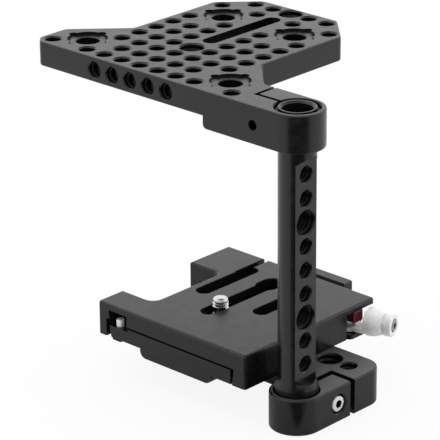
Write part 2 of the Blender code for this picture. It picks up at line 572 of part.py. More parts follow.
def build_camera_plate():
    """Inverted channel that slides on the receiver, with slots for camera screws."""
    left, right = BASE_LEFT - LEG_AIR, BASE_RIGHT + LEG_AIR
    section = [(CAM_LEFT, BASE_LOW), (left + DOVETAIL, BASE_LOW), (left, CAM_WEB), (right, CAM_WEB)]
    section += [(right - DOVETAIL, BASE_LOW), (CAM_RIGHT, BASE_LOW)]
    section += [(CAM_RIGHT, CAM_TOP), (CAM_LEFT, CAM_TOP)]
    bm = bmesh.new()
    bar(bm, section, CAM_FRONT_V, CAM_BACK_V)
    bmesh.ops.recalc_face_normals(bm, faces=bm.faces)

    def is_top_rim(edge):
        return is_outer_rim(edge) and min(v.co.z for v in edge.verts) > CAM_TOP - 0.01

    break_edges(bm, CAM_CORNER, is_upright_corner)
    break_edges(bm, CAM_RIM, is_top_rim, 2)
    plate = piece("camera_plate", bm, ANODISED)

    through = (BASE_LOW - PAST, CAM_TOP + PAST)
    bm = bmesh.new()
    outside = CAM_LEFT - PAST
    notch = [(outside, NOTCH_FROM_V)]
    notch += arc((NOTCH_U - NOTCH_ROUND, NOTCH_FROM_V + NOTCH_ROUND), NOTCH_ROUND, 270.0, 360.0, 5)
    notch += arc((NOTCH_U - NOTCH_ROUND, NOTCH_TO_V - NOTCH_ROUND), NOTCH_ROUND, 0.0, 90.0, 5)
    prism(bm, notch + [(outside, NOTCH_TO_V)], *through)
    for u in SIDE_SLOT_US:
        prism(bm, stadium(u, SIDE_SLOT_FROM_V, SIDE_SLOT_TO_V, SLOT_R), *through)
    prism(bm, stadium(MID_SLOT_U, MID_SLOT_FROM_V, MID_SLOT_TO_V, SLOT_R), *through)
    boolean(plate, "cut_plate_slots", bm)

    # The slot's wide end, the pin's window, the groove and the room for the lever
    bm = bmesh.new()
    front, back, right = CAM_FRONT_V - PAST, CAM_BACK_V + PAST, CAM_RIGHT + PAST
    prism(bm, stadium(MID_SLOT_U, MID_WIDE_FROM_V, MID_WIDE_TO_V, MID_WIDE_R), *through)
    block(bm, (WINDOW_LEFT, front, through[0]), (WINDOW_RIGHT, NOTCH_FROM_V + PAST, WINDOW_TOP))
    block(bm, (GROOVE_LEFT, GROOVE_FROM_V, GROOVE_FLOOR), (GROOVE_RIGHT, back, through[1]))
    block(bm, (FLANGE_FROM_U, FLANGE_FROM_V, through[0]), (right, back, FLANGE_LOW))
    boolean(plate, "cut_plate_features", bm)

    # The channel that the camera screw's washer slides in, and the step in the right leg
    bm = bmesh.new()
    near = MID_SLOT_FROM_V - CHANNEL_R + SLOT_R
    prism(bm, stadium(MID_SLOT_U, near, CHANNEL_TO_V, CHANNEL_R), BASE_LOW, CHANNEL_TOP)
    step_end = FLANGE_FROM_V + PAST
    block(bm, (LEG_STEP_U, LEG_STEP_FROM_V, through[0]), (right, step_end, FLANGE_LOW))
    boolean(plate, "cut_plate_underside", bm)


def build_camera_screw():
    """Captive camera screw and the washer that carries it along the slot."""
    at = Vector((MID_SLOT_U, CAM_SCREW_V, 0.0))
    profile = [
        (0.0, CAM_HEAD_LOW), (CAM_HEAD_R, CAM_HEAD_LOW), (CAM_HEAD_R, CAM_HEAD_HIGH),
        (CAM_SCREW_R, CAM_HEAD_HIGH), (CAM_SCREW_R, CAM_SCREW_TIP - CAM_SCREW_CHAMFER),
        (CAM_SCREW_R - CAM_SCREW_CHAMFER, CAM_SCREW_TIP), (0.0, CAM_SCREW_TIP),
    ]
    bm = bmesh.new()
    turned(bm, profile, at, UP, 20)
    screw = piece("camera_screw", bm, BRIGHT_STEEL, at)
    bm = bmesh.new()
    half = Vector((CAM_HEAD_R + PAST, COIN_SLOT_WIDE / 2, 0.0))
    block(bm, at - half + UP * (CAM_HEAD_LOW - PAST), at + half + UP * (CAM_HEAD_LOW + COIN_SLOT_DEEP))
    boolean(screw, "cut_coin_slot", bm)

    bm = bmesh.new()
    rod(bm, at + UP * WASHER_LOW, at + UP * WASHER_HIGH, WASHER_R, 20)
    washer = piece("camera_screw_washer", bm, BRIGHT_STEEL, at)
    bm = bmesh.new()
    rod(bm, at + UP * (WASHER_LOW - PAST), at + UP * (WASHER_HIGH + PAST), WASHER_BORE, 20)
    boolean(washer, "cut_washer_bore", bm)


def build_lever():
    """Cam lever on its shoulder screw, with a round grip held by a screw."""
    pivot = Vector((PIVOT_U, PIVOT_V, 0.0))
    turn = math.radians(LEVER_TURN)
    along = Vector((math.cos(turn), math.sin(turn), 0.0))
    across = Vector((-along.y, along.x, 0.0))

    def at(reach, side, z):
        return pivot + along * reach + across * side + UP * z

    # The arm is a turned bell whose wide end is milled to a jaw below and a horn above
    profile = [(0.0, BELL_FROM), (BELL_R, BELL_FROM), (BELL_R, BELL_FULL), (WAIST_R, WAIST)]
    profile += [(BELL_TIP_R, BELL_TIP), (0.0, BELL_TIP)]
    bm = bmesh.new()
    turned(bm, profile, at(0.0, 0.0, LEVER_Z), along, 20)
    lever = piece("lock_lever", bm, BRIGHT_STEEL, pivot)
    bm = bmesh.new()
    start, high, low = BELL_FROM - PAST, LEVER_Z + 2 * BELL_R, LEVER_Z - 2 * BELL_R
    above = [(start, JAW_TOP), (MOUTH_TO, JAW_TOP), (HORN_FROM, MOUTH_TOP), (HORN_FROM, HORN_TOP)]
    above += [(HORN_TO, HORN_TOP), (HORN_TO, high), (start, high)]
    under = EAR_LOW + HAIR
    below = [(start, low), (JAW_TO, low), (JAW_TO, under), (start, under)]
    for side in above, below:
        extrude(bm, [at(a, -2 * BELL_R, z) for a, z in side], across * (4 * BELL_R))
    boolean(lever, "cut_lever_jaws", bm)
    bm = bmesh.new()
    low = (PIVOT_U - BELL_R, PIVOT_V - 2 * BELL_R, EAR_LOW - PAST)
    block(bm, low, (JAW_U, PIVOT_V + 2 * BELL_R, JAW_TOP + PAST))
    boolean(lever, "cut_jaw_end", bm)

    # The ear is a disc whose edge rises as the lever closes, and runs into the jaw
    spread = math.degrees(math.asin(EAR_HALF / EAR_R))
    cam = CAM_AIM - LEVER_TURN
    ear = arc((0.0, 0.0), EAR_R, spread, cam - LEVER_OPEN, 8)
    ear += spiral((0.0, 0.0), EAR_R, CAM_REACH, cam - LEVER_OPEN, cam, 8)[1:]
    ear += arc((0.0, 0.0), EAR_R, cam + CAM_DROP, 360.0 - spread, 4)
    ear += [(EAR_END, -EAR_HALF), (EAR_END, EAR_HALF)]
    bm = bmesh.new()
    extrude(bm, [at(a, b, EAR_LOW) for a, b in ear], (0.0, 0.0, EAR_HIGH - EAR_LOW))
    boolean(lever, "join_lever_ear", bm, "UNION")
    bm = bmesh.new()
    rod(bm, pivot + UP * (EAR_LOW - PAST), pivot + UP * (EAR_HIGH + PAST), PIVOT_R + GAP)
    boolean(lever, "cut_lever_pivot", bm)

    # The grip is turned, with a counterbore for its screw
    length = KNOB_END - BELL_TIP - GAP
    bore, seat = SCREW_SHANK_R + SCREW_AIR, length - KNOB_SINK
    profile = [
        (bore, 0.0), (BELL_TIP_R - SOFTEN, 0.0), (KNOB_R, KNOB_FLARE), (KNOB_R, length - KNOB_ROUND),
        (KNOB_R - KNOB_ROUND, length), (KNOB_SINK_R, length), (KNOB_SINK_R, seat), (bore, seat),
        (bore, 0.0),
    ]
    bm = bmesh.new()
    turned(bm, profile, at(BELL_TIP + GAP, 0.0, LEVER_Z), along, 20)
    piece("lever_knob", bm, BRIGHT_STEEL, pivot)

    # The grip's screw ends just short of the arm
    head, shank = KNOB_SINK_R - GAP, bore - GAP
    floor = KNOB_HEAD_H - SCREW_SOCKET_R / 2
    profile = [(0.0, -seat), (shank, -seat), (shank, 0.0), (head, 0.0)]
    profile += [(head, KNOB_HEAD_H), (0.0, KNOB_HEAD_H)]
    under_head = at(KNOB_END - KNOB_SINK + GAP, 0.0, LEVER_Z)
    bm = bmesh.new()
    turned(bm, profile, under_head, along, 18)
    screw = piece("lever_knob_screw", bm, BLACK_STEEL, pivot)
    bm = bmesh.new()
    rod(bm, under_head + along * floor, under_head + along * (floor + PAST), KNOB_SOCKET_R, 6)
    boolean(screw, "cut_knob_socket", bm)

    # The shoulder screw stands in the receiver's floor and keeps the ear down
    head_low = EAR_HIGH + GAP
    profile = [
        (0.0, BASE_LOW), (PIVOT_R, BASE_LOW), (PIVOT_R, head_low), (PIVOT_HEAD_R, head_low),
        (PIVOT_HEAD_R, head_low + PIVOT_HEAD_H), (0.0, head_low + PIVOT_HEAD_H),
    ]
    bm = bmesh.new()
    turned(bm, profile, pivot, UP, 16)
    piece("lever_pivot_screw", bm, BRIGHT_STEEL)


def build_lock_shoe():
    """Wedge that the lever's cam pushes along a sloping wall, out against the plate's leg."""
    slope = math.tan(math.radians(SHOE_SLOPE))
    front = SHOE_FROM_V + GAP + HAIR
    inner = SHOE_WALL_U - slope * (front - SHOE_FROM_V) + GAP
    outline = [(inner, front), (SHOE_OUT_U, front), (SHOE_OUT_U, SHOE_BACK_V)]
    outline += [(inner - slope * (SHOE_BACK_V - front), SHOE_BACK_V)]
    bm = bmesh.new()
    prism(bm, outline, SHOE_LOW, SHOE_HIGH)
    break_edges(bm, SOFTEN, is_upright_corner)
    piece("lock_shoe", bm, BRASS, (SHOE_OUT_U, SHOE_BACK_V, SHOE_LOW))


def coil(name, wire, turns, start_r, end_r, length, at, turn):
    """A coil spring of round wire, made on its own axis and then turned and placed."""
    curve = bpy.data.curves.new(name, "CURVE")
    curve.dimensions = "3D"
    curve.bevel_depth = wire * MM
    curve.bevel_resolution = 1
    curve.use_fill_caps = True
    spline = curve.splines.new("POLY")
    steps = turns * COIL_STEPS
    spline.points.add(steps)
    plan = spiral((0.0, 0.0), start_r, end_r, 0.0, 360.0 * turns, steps)
    rise = (length - 2 * wire) / steps
    points = [Vector((*at_plan, wire + rise * n)) for n, at_plan in enumerate(plan)]
    rises = [(points[n + COIL_STEPS] - points[n]).length for n in range(steps + 1 - COIL_STEPS)]
    print(name, "least gap between turns, mm:", round(min(rises) - 2 * wire, 2))
    for n, point in enumerate(points):
        placed = (turn @ point) * MM
        spline.points[n].co = (*placed, 1.0)
    obj = bpy.data.objects.new(name, curve)
    obj.location = (Vector(at) + SHIFT) * MM
    curve.materials.append(finish(name, *BRIGHT_STEEL))
    bpy.context.scene.collection.objects.link(obj)


def build_safety_button():
    """Red catch beside the lever: a rounded head on a stem, with its spring and clip."""
    bm = bmesh.new()
    low = (BUTTON_IN, BUTTON_V - BUTTON_HALF, BUTTON_LOW)
    block(bm, low, (BUTTON_OUT, BUTTON_V + BUTTON_HALF, BUTTON_HIGH))

    def is_face_rim(edge):
        return all(abs(v.co.x - BUTTON_OUT) < 0.01 for v in edge.verts)

    break_edges(bm, BUTTON_ROUND, is_face_rim, 3)
    at = (BUTTON_IN, BUTTON_V, STEM_Z)
    button = piece("safety_button", bm, RED_PLASTIC, at)
    bm = bmesh.new()
    groove_from, groove_to = CLIP_U - CLIP_THICK - CLIP_AIR, CLIP_U + CLIP_AIR
    profile = [(0.0, STEM_END), (STEM_R, STEM_END), (STEM_R, groove_from), (CLIP_NECK_R, groove_from)]
    profile += [(CLIP_NECK_R, groove_to), (STEM_R, groove_to)]
    profile += [(STEM_R, BUTTON_IN + PAST), (0.0, BUTTON_IN + PAST)]
    turned(bm, profile, (0.0, BUTTON_V, STEM_Z), (1.0, 0.0, 0.0), 12)
    boolean(button, "join_button_stem", bm, "UNION")

    along = UP.rotation_difference(Vector((1.0, 0.0, 0.0))).to_matrix()
    spring_from = GUIDE_RIGHT + GAP
    coil("safety_button_spring", BUTTON_WIRE_R, BUTTON_COIL_TURNS, BUTTON_COIL_R, BUTTON_COIL_R,
         BUTTON_IN - GAP - spring_from, (spring_from, BUTTON_V, STEM_Z), along)

    # The clip is a flat ring with an open side, snapped into the stem's groove
    bm = bmesh.new()
    ring = arc((0.0, 0.0), CLIP_R, CLIP_MOUTH, 360.0 - CLIP_MOUTH, 14)
    ring += arc((0.0, 0.0), CLIP_BORE, 360.0 - CLIP_MOUTH, CLIP_MOUTH, 14)
    outline = [(CLIP_U - CLIP_THICK, BUTTON_V + b, STEM_Z + a) for a, b in ring]
    extrude(bm, outline, (CLIP_THICK, 0.0, 0.0))
    piece("safety_button_clip", bm, BRIGHT_STEEL, at)


def build_stop_pin():
    """Spring-loaded pin that stops the plate from sliding off, with the cover of its pocket."""
    at = Vector((PIN_U, PIN_V, 0.0))
    profile = [(0.0, PIN_FLANGE_LOW), (PIN_FLANGE_R, PIN_FLANGE_LOW)]
    profile += [(PIN_FLANGE_R, PIN_FLANGE_HIGH), (PIN_R, PIN_FLANGE_HIGH)]
    profile += arc((0.0, PIN_TOP - PIN_R), PIN_R, 0.0, 90.0, 5)[:-1] + [(0.0, PIN_TOP)]
    bm = bmesh.new()
    turned(bm, profile, at, UP, 16)
    piece("stop_pin", bm, BRIGHT_STEEL, at)

    bm = bmesh.new()
    low = (PIN_U - PIN_COVER_HALF, PIN_V - PIN_COVER_HALF, PIN_COVER_LOW)
    block(bm, low, (PIN_U + PIN_COVER_HALF, PIN_V + PIN_COVER_HALF, BRACKET_HIGH))
    break_edges(bm, PIN_COVER_ROUND, is_upright_corner, 3)
    piece("stop_pin_cover", bm, ANODISED)

    spring_low = BRACKET_HIGH + GAP / 2
    coil("stop_pin_spring", PIN_WIRE_R, PIN_COIL_TURNS, PIN_COIL_LOW_R, PIN_COIL_HIGH_R,
         PIN_FLANGE_LOW - GAP / 2 - spring_low, (*at.xy, spring_low), Matrix.Identity(3))


for old in list(bpy.data.objects):
    bpy.data.objects.remove(old, do_unlink=True)

build_top_plate()
build_post()
build_bracket()
build_dovetail_base()
build_rear_stop()
build_camera_plate()
build_camera_screw()
build_lever()
build_lock_shoe()
build_safety_button()
build_stop_pin()
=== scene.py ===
"""Looks of the half camera cage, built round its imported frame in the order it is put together.

Pieces are drawn in millimetres, as on a shop drawing: u runs along the top plate's front edge and v
away from it, both from the plate's first hole, and z is the height above the table.
"""
import math

import bmesh
import bpy
from mathutils import Matrix, Vector


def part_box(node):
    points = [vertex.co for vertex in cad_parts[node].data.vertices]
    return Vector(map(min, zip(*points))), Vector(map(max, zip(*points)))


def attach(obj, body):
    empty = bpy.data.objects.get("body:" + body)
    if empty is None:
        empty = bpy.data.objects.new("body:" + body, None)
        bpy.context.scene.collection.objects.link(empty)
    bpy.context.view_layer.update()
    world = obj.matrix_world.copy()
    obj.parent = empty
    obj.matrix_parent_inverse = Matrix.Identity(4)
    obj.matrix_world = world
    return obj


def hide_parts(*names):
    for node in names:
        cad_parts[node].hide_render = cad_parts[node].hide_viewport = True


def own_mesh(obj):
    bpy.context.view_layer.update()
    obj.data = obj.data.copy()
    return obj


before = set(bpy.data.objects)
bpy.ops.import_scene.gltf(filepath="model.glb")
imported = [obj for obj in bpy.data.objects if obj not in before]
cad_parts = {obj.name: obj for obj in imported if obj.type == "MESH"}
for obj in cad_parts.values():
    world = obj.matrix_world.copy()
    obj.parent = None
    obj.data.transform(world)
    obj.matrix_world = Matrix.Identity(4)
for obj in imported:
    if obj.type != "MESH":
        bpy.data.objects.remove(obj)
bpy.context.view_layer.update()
scene = bpy.context.scene

# Camera
# A long lens on a square frame, a little above the cage and square to none of its faces,
# looking in over the corner that the post stands on.
CAMERA_AT = Vector((0.65807, -0.71056, 0.44817))
CAMERA_AZIMUTH, CAMERA_ELEVATION, CAMERA_ROLL = 43.406, 22.001, -0.469
CAMERA_LENS, CAMERA_SENSOR = 216.29, 36.0
azimuth, elevation = math.radians(CAMERA_AZIMUTH), math.radians(CAMERA_ELEVATION)
level = Vector((math.cos(azimuth), math.sin(azimuth), 0.0))
back = Vector((math.sin(azimuth), -math.cos(azimuth), 0.0)) * math.cos(elevation)
back.z = math.sin(elevation)
across = Matrix.Rotation(math.radians(CAMERA_ROLL), 3, back) @ level
lens = bpy.data.cameras.new("photo_camera")
lens.lens, lens.sensor_width = CAMERA_LENS, CAMERA_SENSOR
camera = bpy.data.objects.new("photo_camera", lens)
camera.matrix_world = Matrix((across, back.cross(across), back)).transposed().to_4x4()
camera.location = CAMERA_AT
scene.collection.objects.link(camera)
scene.camera = camera

# Bracket
# A bar of aluminium that carries the base, sawn and milled with a split clamp at its end. It is
# blasted, dyed black and sealed, and two tapped holes beside the post take a tripod plate.
MM = 0.001
MARGIN = 5.7
FIRST_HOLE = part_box("top_plate")[0] + Vector((MARGIN, MARGIN, 0.0)) * MM
TO_FRAME = Matrix.Translation((FIRST_HOLE.x, FIRST_HOLE.y, 0.0)) @ Matrix.Scale(MM, 4)
RIGHT, REAR, UP = Vector((1.0, 0.0, 0.0)), Vector((0.0, 1.0, 0.0)), Vector((0.0, 0.0, 1.0))
PAST, SAME, MERGE, SHARP = 2.0, 0.01, 0.0005, math.radians(60.0)
POST_U, POST_V = 123.3, 4.9
CLAMP_R, BORE_R, BORE_MOUTH, SLIT_REACH, LOWER_SLIT = 10.6, 8.7, 0.4, 20.2, 2.6
SMALL_R, LARGE_R, MOUTH = 3.1, 4.75, 0.6
SMALL_PITCH, LARGE_PITCH = 1.27, 1.5875
THREAD_SUNK, THREAD_CLEAR = 0.06, MOUTH + 0.2
EDGE_BREAK, FINE_BREAK = 0.7, 0.4


def slab(corners, low, high):
    """A flat blank with these corners in plan."""
    bm = bmesh.new()
    face = bm.faces.new([bm.verts.new((u, v, low)) for u, v in corners])
    moved = bmesh.ops.extrude_face_region(bm, geom=[face])["geom"]
    verts = [item for item in moved if isinstance(item, bmesh.types.BMVert)]
    bmesh.ops.translate(bm, verts=verts, vec=(0.0, 0.0, high - low))
    bmesh.ops.recalc_face_normals(bm, faces=bm.faces)
    return bm


def box(low, high):
    """A rectangular blank between two opposite corners."""
    return slab([(low[0], low[1]), (high[0], low[1]), (high[0], high[1]), (low[0], high[1])],
                low[2], high[2])


def soften(bm, edges, width, segments=2):
    """Bevel these edges by a width, round over several segments or flat over one."""
    return bmesh.ops.bevel(bm, geom=list(edges), offset=width, offset_type="OFFSET", affect="EDGES",
                           segments=segments, profile=0.5, material=-1, clamp_overlap=False)["faces"]


def weld(bm):
    """Merge the points of a shape that fall on one another."""
    bmesh.ops.remove_doubles(bm, verts=bm.verts, dist=MERGE)


def round_corner(bm, corner, radius, segments=10):
    """Round one upright corner of a blank."""
    at = Vector(corner)
    edges = [e for e in bm.edges if all((v.co.xy - at).length < SAME for v in e.verts)]
    soften(bm, edges, radius, segments)
    weld(bm)


def sharp_edges(bm):
    """The edges where two faces meet at a clear outside corner."""
    bm.normal_update()
    return [e for e in bm.edges if e.is_convex and e.calc_face_angle(0.0) > SHARP]


def rim_edges(bm, *heights):
    """The square edges that lie in a level face at one of these heights."""
    return [e for e in sharp_edges(bm)
            if any(all(abs(v.co.z - z) < SAME for v in e.verts) for z in heights)]


def turn_to(axis):
    """The turn that lays the z axis along another axis."""
    return UP.rotation_difference(axis).to_matrix().to_4x4()


def move(bm, matrix):
    """Move a whole shape."""
    bmesh.ops.transform(bm, matrix=matrix, verts=bm.verts)


def add(bm, shape, start, axis):
    """Set a shape, drawn up the z axis from the origin, at a start point along an axis."""
    move(shape, Matrix.Translation(start) @ turn_to(axis))
    bmesh.ops.recalc_face_normals(shape, faces=shape.faces)
    mesh = bpy.data.meshes.new("shape")
    shape.to_mesh(mesh)
    shape.free()
    bm.from_mesh(mesh)
    bpy.data.meshes.remove(mesh)


def turned(bm, profile, start, axis, segments=40):
    """Spin (radius, distance) points round an axis: a ring if they close, or else a solid."""
    if profile[0] != profile[-1]:
        profile = [(0.0, profile[0][1]), *profile, (0.0, profile[-1][1])]
    shape = bmesh.new()
    verts = [shape.verts.new((radius, 0.0, along)) for radius, along in profile]
    edges = [shape.edges.new(pair) for pair in zip(verts, verts[1:])]
    bmesh.ops.spin(shape, geom=verts + edges, cent=(0.0, 0.0, 0.0), axis=UP, angle=math.tau,
                   steps=segments, use_merge=True)
    weld(shape)
    add(bm, shape, start, axis)


def drill(bm, start, axis, length, radius, mouth=MOUTH, through=True, segments=32):
    """A drill's shape from one face to another, with a countersink at each open end."""
    flare = radius + mouth + PAST
    profile = [(flare, -PAST), (radius, mouth)]
    if through:
        profile += [(radius, length - mouth), (flare, length + PAST)]
    else:
        profile += [(radius, length), (0.0, length + radius / math.sqrt(3.0))]
    turned(bm, profile, start, axis, segments)


def as_object(name, bm):
    """Put a shape into the scene as an object."""
    mesh = bpy.data.meshes.new(name)
    bm.to_mesh(mesh)
    obj = bpy.data.objects.new(name, mesh)
    scene.collection.objects.link(obj)
    return obj


def boolean(bm, other, operation):
    """Make a blank the difference or union of itself and another shape, which is used up."""
    made = [as_object("blank", shape) for shape in (bm, other)]
    other.free()
    modifier = made[0].modifiers.new("boolean", "BOOLEAN")
    modifier.operation, modifier.solver, modifier.object = operation, "EXACT", made[1]
    result = made[0].evaluated_get(bpy.context.evaluated_depsgraph_get()).to_mesh()
    bm.clear()
    bm.from_mesh(result)
    for obj in made:
        mesh = obj.data
        bpy.data.objects.remove(obj)
        bpy.data.meshes.remove(mesh)


def cut(bm, tool):
    """Machine a tool's shape out of a blank."""
    boolean(bm, tool, "DIFFERENCE")
    weld(bm)


def clamp_slit(along, out, width, low, high):
    """The saw cut of a split clamp: along the arm from the bore, then out of its side."""
    half = width / 2
    bore_side, far, outside = BORE_R - 1.0, SLIT_REACH + half, CLAMP_R + PAST
    path = [(bore_side, -half), (far, -half), (far, outside), (SLIT_REACH - half, outside),
            (SLIT_REACH - half, half), (bore_side, half)]
    post, along, out = Vector((POST_U, POST_V)), along.xy, out.xy
    return slab([post + along * a + out * b for a, b in path], low - PAST, high + PAST)


def clamp_bore(low, high):
    """The post's hole in a split clamp."""
    bm = bmesh.new()
    drill(bm, (POST_U, POST_V, low), UP, high - low, BORE_R, BORE_MOUTH, segments=72)
    return bm


def screw_seat(bm, seat, facing, length, clear):
    """A hole for a socket screw: a counterbore for its head, then a clear part and a tapped part."""
    bore, sink, top, tapped = SHANK_R + SCREW_AIR, HEAD_R + SCREW_AIR, HEAD_SINK, SHANK_R + TAP_AIR
    profile = [(tapped, -length), (tapped, -clear), (bore, -clear), (bore, 0.0), (sink, 0.0),
               (sink, top - MOUTH), (sink + MOUTH + PAST, top + PAST)]
    turned(bm, profile, seat, facing, 32)


def helix(bm, section, start, axis, turns, pitch, steps=20):
    """Sweep a closed section of (radius, height) points up a screw line, with both ends capped."""
    shape = bmesh.new()
    ring = [shape.verts.new((radius, 0.0, height)) for radius, height in section]
    edges = [shape.edges.new(pair) for pair in zip(ring, ring[1:] + ring[:1])]
    spun = bmesh.ops.spin(shape, geom=ring + edges, cent=(0.0, 0.0, 0.0), axis=UP,
                          dvec=(0.0, 0.0, pitch / steps), angle=math.tau * turns,
                          steps=round(turns * steps), use_merge=False)
    last = [item for item in spun["geom_last"] if isinstance(item, bmesh.types.BMEdge)]
    for loop in (edges, last):
        bmesh.ops.holes_fill(shape, edges=loop, sides=len(section))
    add(bm, shape, start, axis)


def tapped_thread(bm, start, axis, length, radius, pitch):
    """The thread's ridge inside a tapped hole, sunk a hair into the wall that carries it."""
    wall, crest = radius + THREAD_SUNK, radius - 0.5 * pitch
    section = [(wall, 0.0), (crest, 0.44 * pitch), (crest, 0.56 * pitch), (wall, pitch)]
    turns = int((length - 2 * THREAD_CLEAR) / pitch) - 1
    lead = (length - (turns + 1) * pitch) / 2
    helix(bm, section, Vector(start) + axis * lead, axis, turns, pitch)


def node(tree, kind, inputs=(), **settings):
    """One shader node: its settings, then its input values or the sockets that feed them."""
    made = tree.nodes.new("ShaderNode" + kind)
    for key, value in settings.items():
        setattr(made, key, value)
    for socket, value in dict(inputs).items():
        if isinstance(value, bpy.types.NodeSocket):
            tree.links.new(value, made.inputs[socket])
        else:
            made.inputs[socket].default_value = value
    return made


def new_finish(name):
    """A material, its node tree, its shader's inputs and the piece's own coordinates."""
    material = bpy.data.materials.new(name)
    material.use_nodes = True
    tree = material.node_tree
    return material, tree, tree.nodes["Principled BSDF"].inputs, node(tree, "TexCoord").outputs["Object"]


def grey(value):
    """A neutral colour."""
    return (value, value, value)


def tint(tree, pattern, dark, light, span=(0.3, 0.7)):
    """Colour a material by a pattern, from dark to light over a span of the pattern's range."""
    tone = node(tree, "ValToRGB", {"Fac": pattern.outputs["Fac"]})
    for element, position, colour in zip(tone.color_ramp.elements, span, (dark, light)):
        element.position, element.color = position, (*colour, 1.0)
    tree.links.new(tone.outputs["Color"], tree.nodes["Principled BSDF"].inputs["Base Color"])


def shine(tree, pattern, low, high):
    """Vary a material's roughness by a pattern."""
    gloss = node(tree, "MapRange", {"Value": pattern.outputs["Fac"], "From Min": 0.3, "From Max": 0.7,
                                    "To Min": low, "To Max": high})
    tree.links.new(gloss.outputs["Result"], tree.nodes["Principled BSDF"].inputs["Roughness"])


def relief(tree, pattern, strength, height):
    """Raise a pattern's fine relief on a material."""
    bump = node(tree, "Bump", {"Height": pattern.outputs["Fac"], "Strength": strength, "Distance": height})
    tree.links.new(bump.outputs["Normal"], tree.nodes["Principled BSDF"].inputs["Normal"])


def anodised(name, dark, light, roughness, specular=0.38):
    """Blasted and dyed aluminium: faint clouds in the dye over a fine grain from the blasting."""
    material, tree, shader, where = new_finish(name)
    clouds = node(tree, "TexNoise", {"Vector": where, "Scale": 260.0, "Detail": 5.0})
    grain = node(tree, "TexNoise", {"Vector": where, "Scale": 2200.0, "Detail": 3.0})
    tint(tree, clouds, grey(dark), grey(light))
    shine(tree, clouds, roughness - 0.06, roughness + 0.06)
    relief(tree, grain, 0.4, 0.03 * MM)
    shader["Specular IOR Level"].default_value = specular
    return material


BLACK = anodised("black_anodised_face", 0.004, 0.007, 0.27)
# A copy with less shine for the pieces low down is painted shade.
SHADED_LOWER_BLACK = anodised("black_anodised_lower_painted_shade", 0.004, 0.007, 0.27, 0.285)
# A paler copy on the broken edges is a painted highlight, where light catches the rounding.
PAINTED_HIGHLIGHT_BLACK = anodised("black_anodised_painted_highlight", 0.008, 0.012, 0.28)
# A darker copy with little shine is painted shade in hole walls, threads, bores and gaps.
PAINTED_SHADE_BLACK = anodised("black_anodised_painted_shade", 0.003, 0.005, 0.34, 0.12)
# A much paler copy for the bracket's top is painted light, where that face catches more light.
PAINTED_LIGHT_BLACK = anodised("black_anodised_painted_light", 0.070, 0.090, 0.45)
PAINTED_HIGHLIGHT, PAINTED_SHADE, PAINTED_LIGHT_TOP = 1, 2, 3


def fit(name, bm, body, slot, materials, *nodes, smooth=40.0):
    """Turn a drawn piece into an object on its body, standing for its nodes in the frame."""
    move(bm, TO_FRAME)
    obj = as_object(name, bm)
    bm.free()
    for material in materials:
        obj.data.materials.append(material)
    obj.data.shade_smooth()
    obj.data.set_sharp_from_angle(angle=math.radians(smooth))
    flat = obj.modifiers.new("even_faces", "WEIGHTED_NORMAL")
    flat.keep_sharp, flat.weight = True, 80
    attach(obj, body)
    if nodes:
        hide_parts(*nodes)
    return obj


def shade_hole_wall(bm, start, axis, radius):
    """Paint shade on the wall of a hole: a darker copy of the black with little shine."""
    start = Vector(start)
    for face in bm.faces:
        reach = face.calc_center_median() - start
        from_axis = (reach - axis * reach.dot(axis)).length
        if abs(face.normal.dot(axis)) < 0.3 and from_axis < radius + 2 * SAME:
            face.material_index = PAINTED_SHADE


def break_edges(bm, edges, width, segments=2):
    """Bevel these edges and give them a painted highlight: a paler copy of the finish where light catches
    the rounding.
    """
    for face in soften(bm, edges, width, segments):
        face.material_index = PAINTED_HIGHLIGHT


BRACKET_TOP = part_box("side_arm_bracket")[1].z / MM
BAR_FRONT, BAR_BACK, BAR_END, NECK_U = 24.0, 44.5, 45.0, POST_U - CLAMP_R
BRACKET_RIGHT, BRACKET_FRONT = POST_U + CLAMP_R, POST_V - CLAMP_R
BLOCK_ROUND, BAR_ROUND = 8.0, 5.0
TRIPOD_HOLE, SIDE_HOLE = (114.5, 34.0), (124.0, 34.0)
BASE_SCREW_US, BASE_SCREW_V = (59.0, 73.0, 87.0), 34.25
HEAD_R, SHANK_R, HEAD_SINK, SCREW_AIR, TAP_AIR, TAP_LONG = 3.5, 2.0, 4.2, 0.35, 0.05, 0.5
CLAMP_SCREW_OFF = 12.5
LOWER_SCREW_AT = Vector((BRACKET_RIGHT - HEAD_SINK, POST_V + CLAMP_SCREW_OFF, 7.4))
bracket = slab([(NECK_U, BRACKET_FRONT), (BRACKET_RIGHT, BRACKET_FRONT), (BRACKET_RIGHT, BAR_BACK),
                (BAR_END, BAR_BACK), (BAR_END, BAR_FRONT), (NECK_U, BAR_FRONT)], 0.0, BRACKET_TOP)
for corner, radius in (((NECK_U, BRACKET_FRONT), CLAMP_R), ((BRACKET_RIGHT, BRACKET_FRONT), CLAMP_R),
                       ((BRACKET_RIGHT, BAR_BACK), BLOCK_ROUND), ((NECK_U, BAR_FRONT), BLOCK_ROUND),
                       ((BAR_END, BAR_BACK), BAR_ROUND), ((BAR_END, BAR_FRONT), BAR_ROUND)):
    round_corner(bracket, corner, radius, 18)
break_edges(bracket, rim_edges(bracket, 0.0, BRACKET_TOP), EDGE_BREAK, 3)
tool = clamp_bore(0.0, BRACKET_TOP)
drill(tool, (*TRIPOD_HOLE, 0.0), UP, BRACKET_TOP, LARGE_R, segments=44)
drill(tool, (*SIDE_HOLE, 0.0), UP, BRACKET_TOP, SMALL_R)
for u in BASE_SCREW_US:
    screw_seat(tool, Vector((u, BASE_SCREW_V, HEAD_SINK)), -UP, BRACKET_TOP, BRACKET_TOP - TAP_LONG)
cut(bracket, tool)
cut(bracket, clamp_slit(REAR, RIGHT, LOWER_SLIT, 0.0, BRACKET_TOP))
tool = bmesh.new()
screw_seat(tool, LOWER_SCREW_AT, RIGHT, 2 * CLAMP_R, CLAMP_R - HEAD_SINK)
cut(bracket, tool)
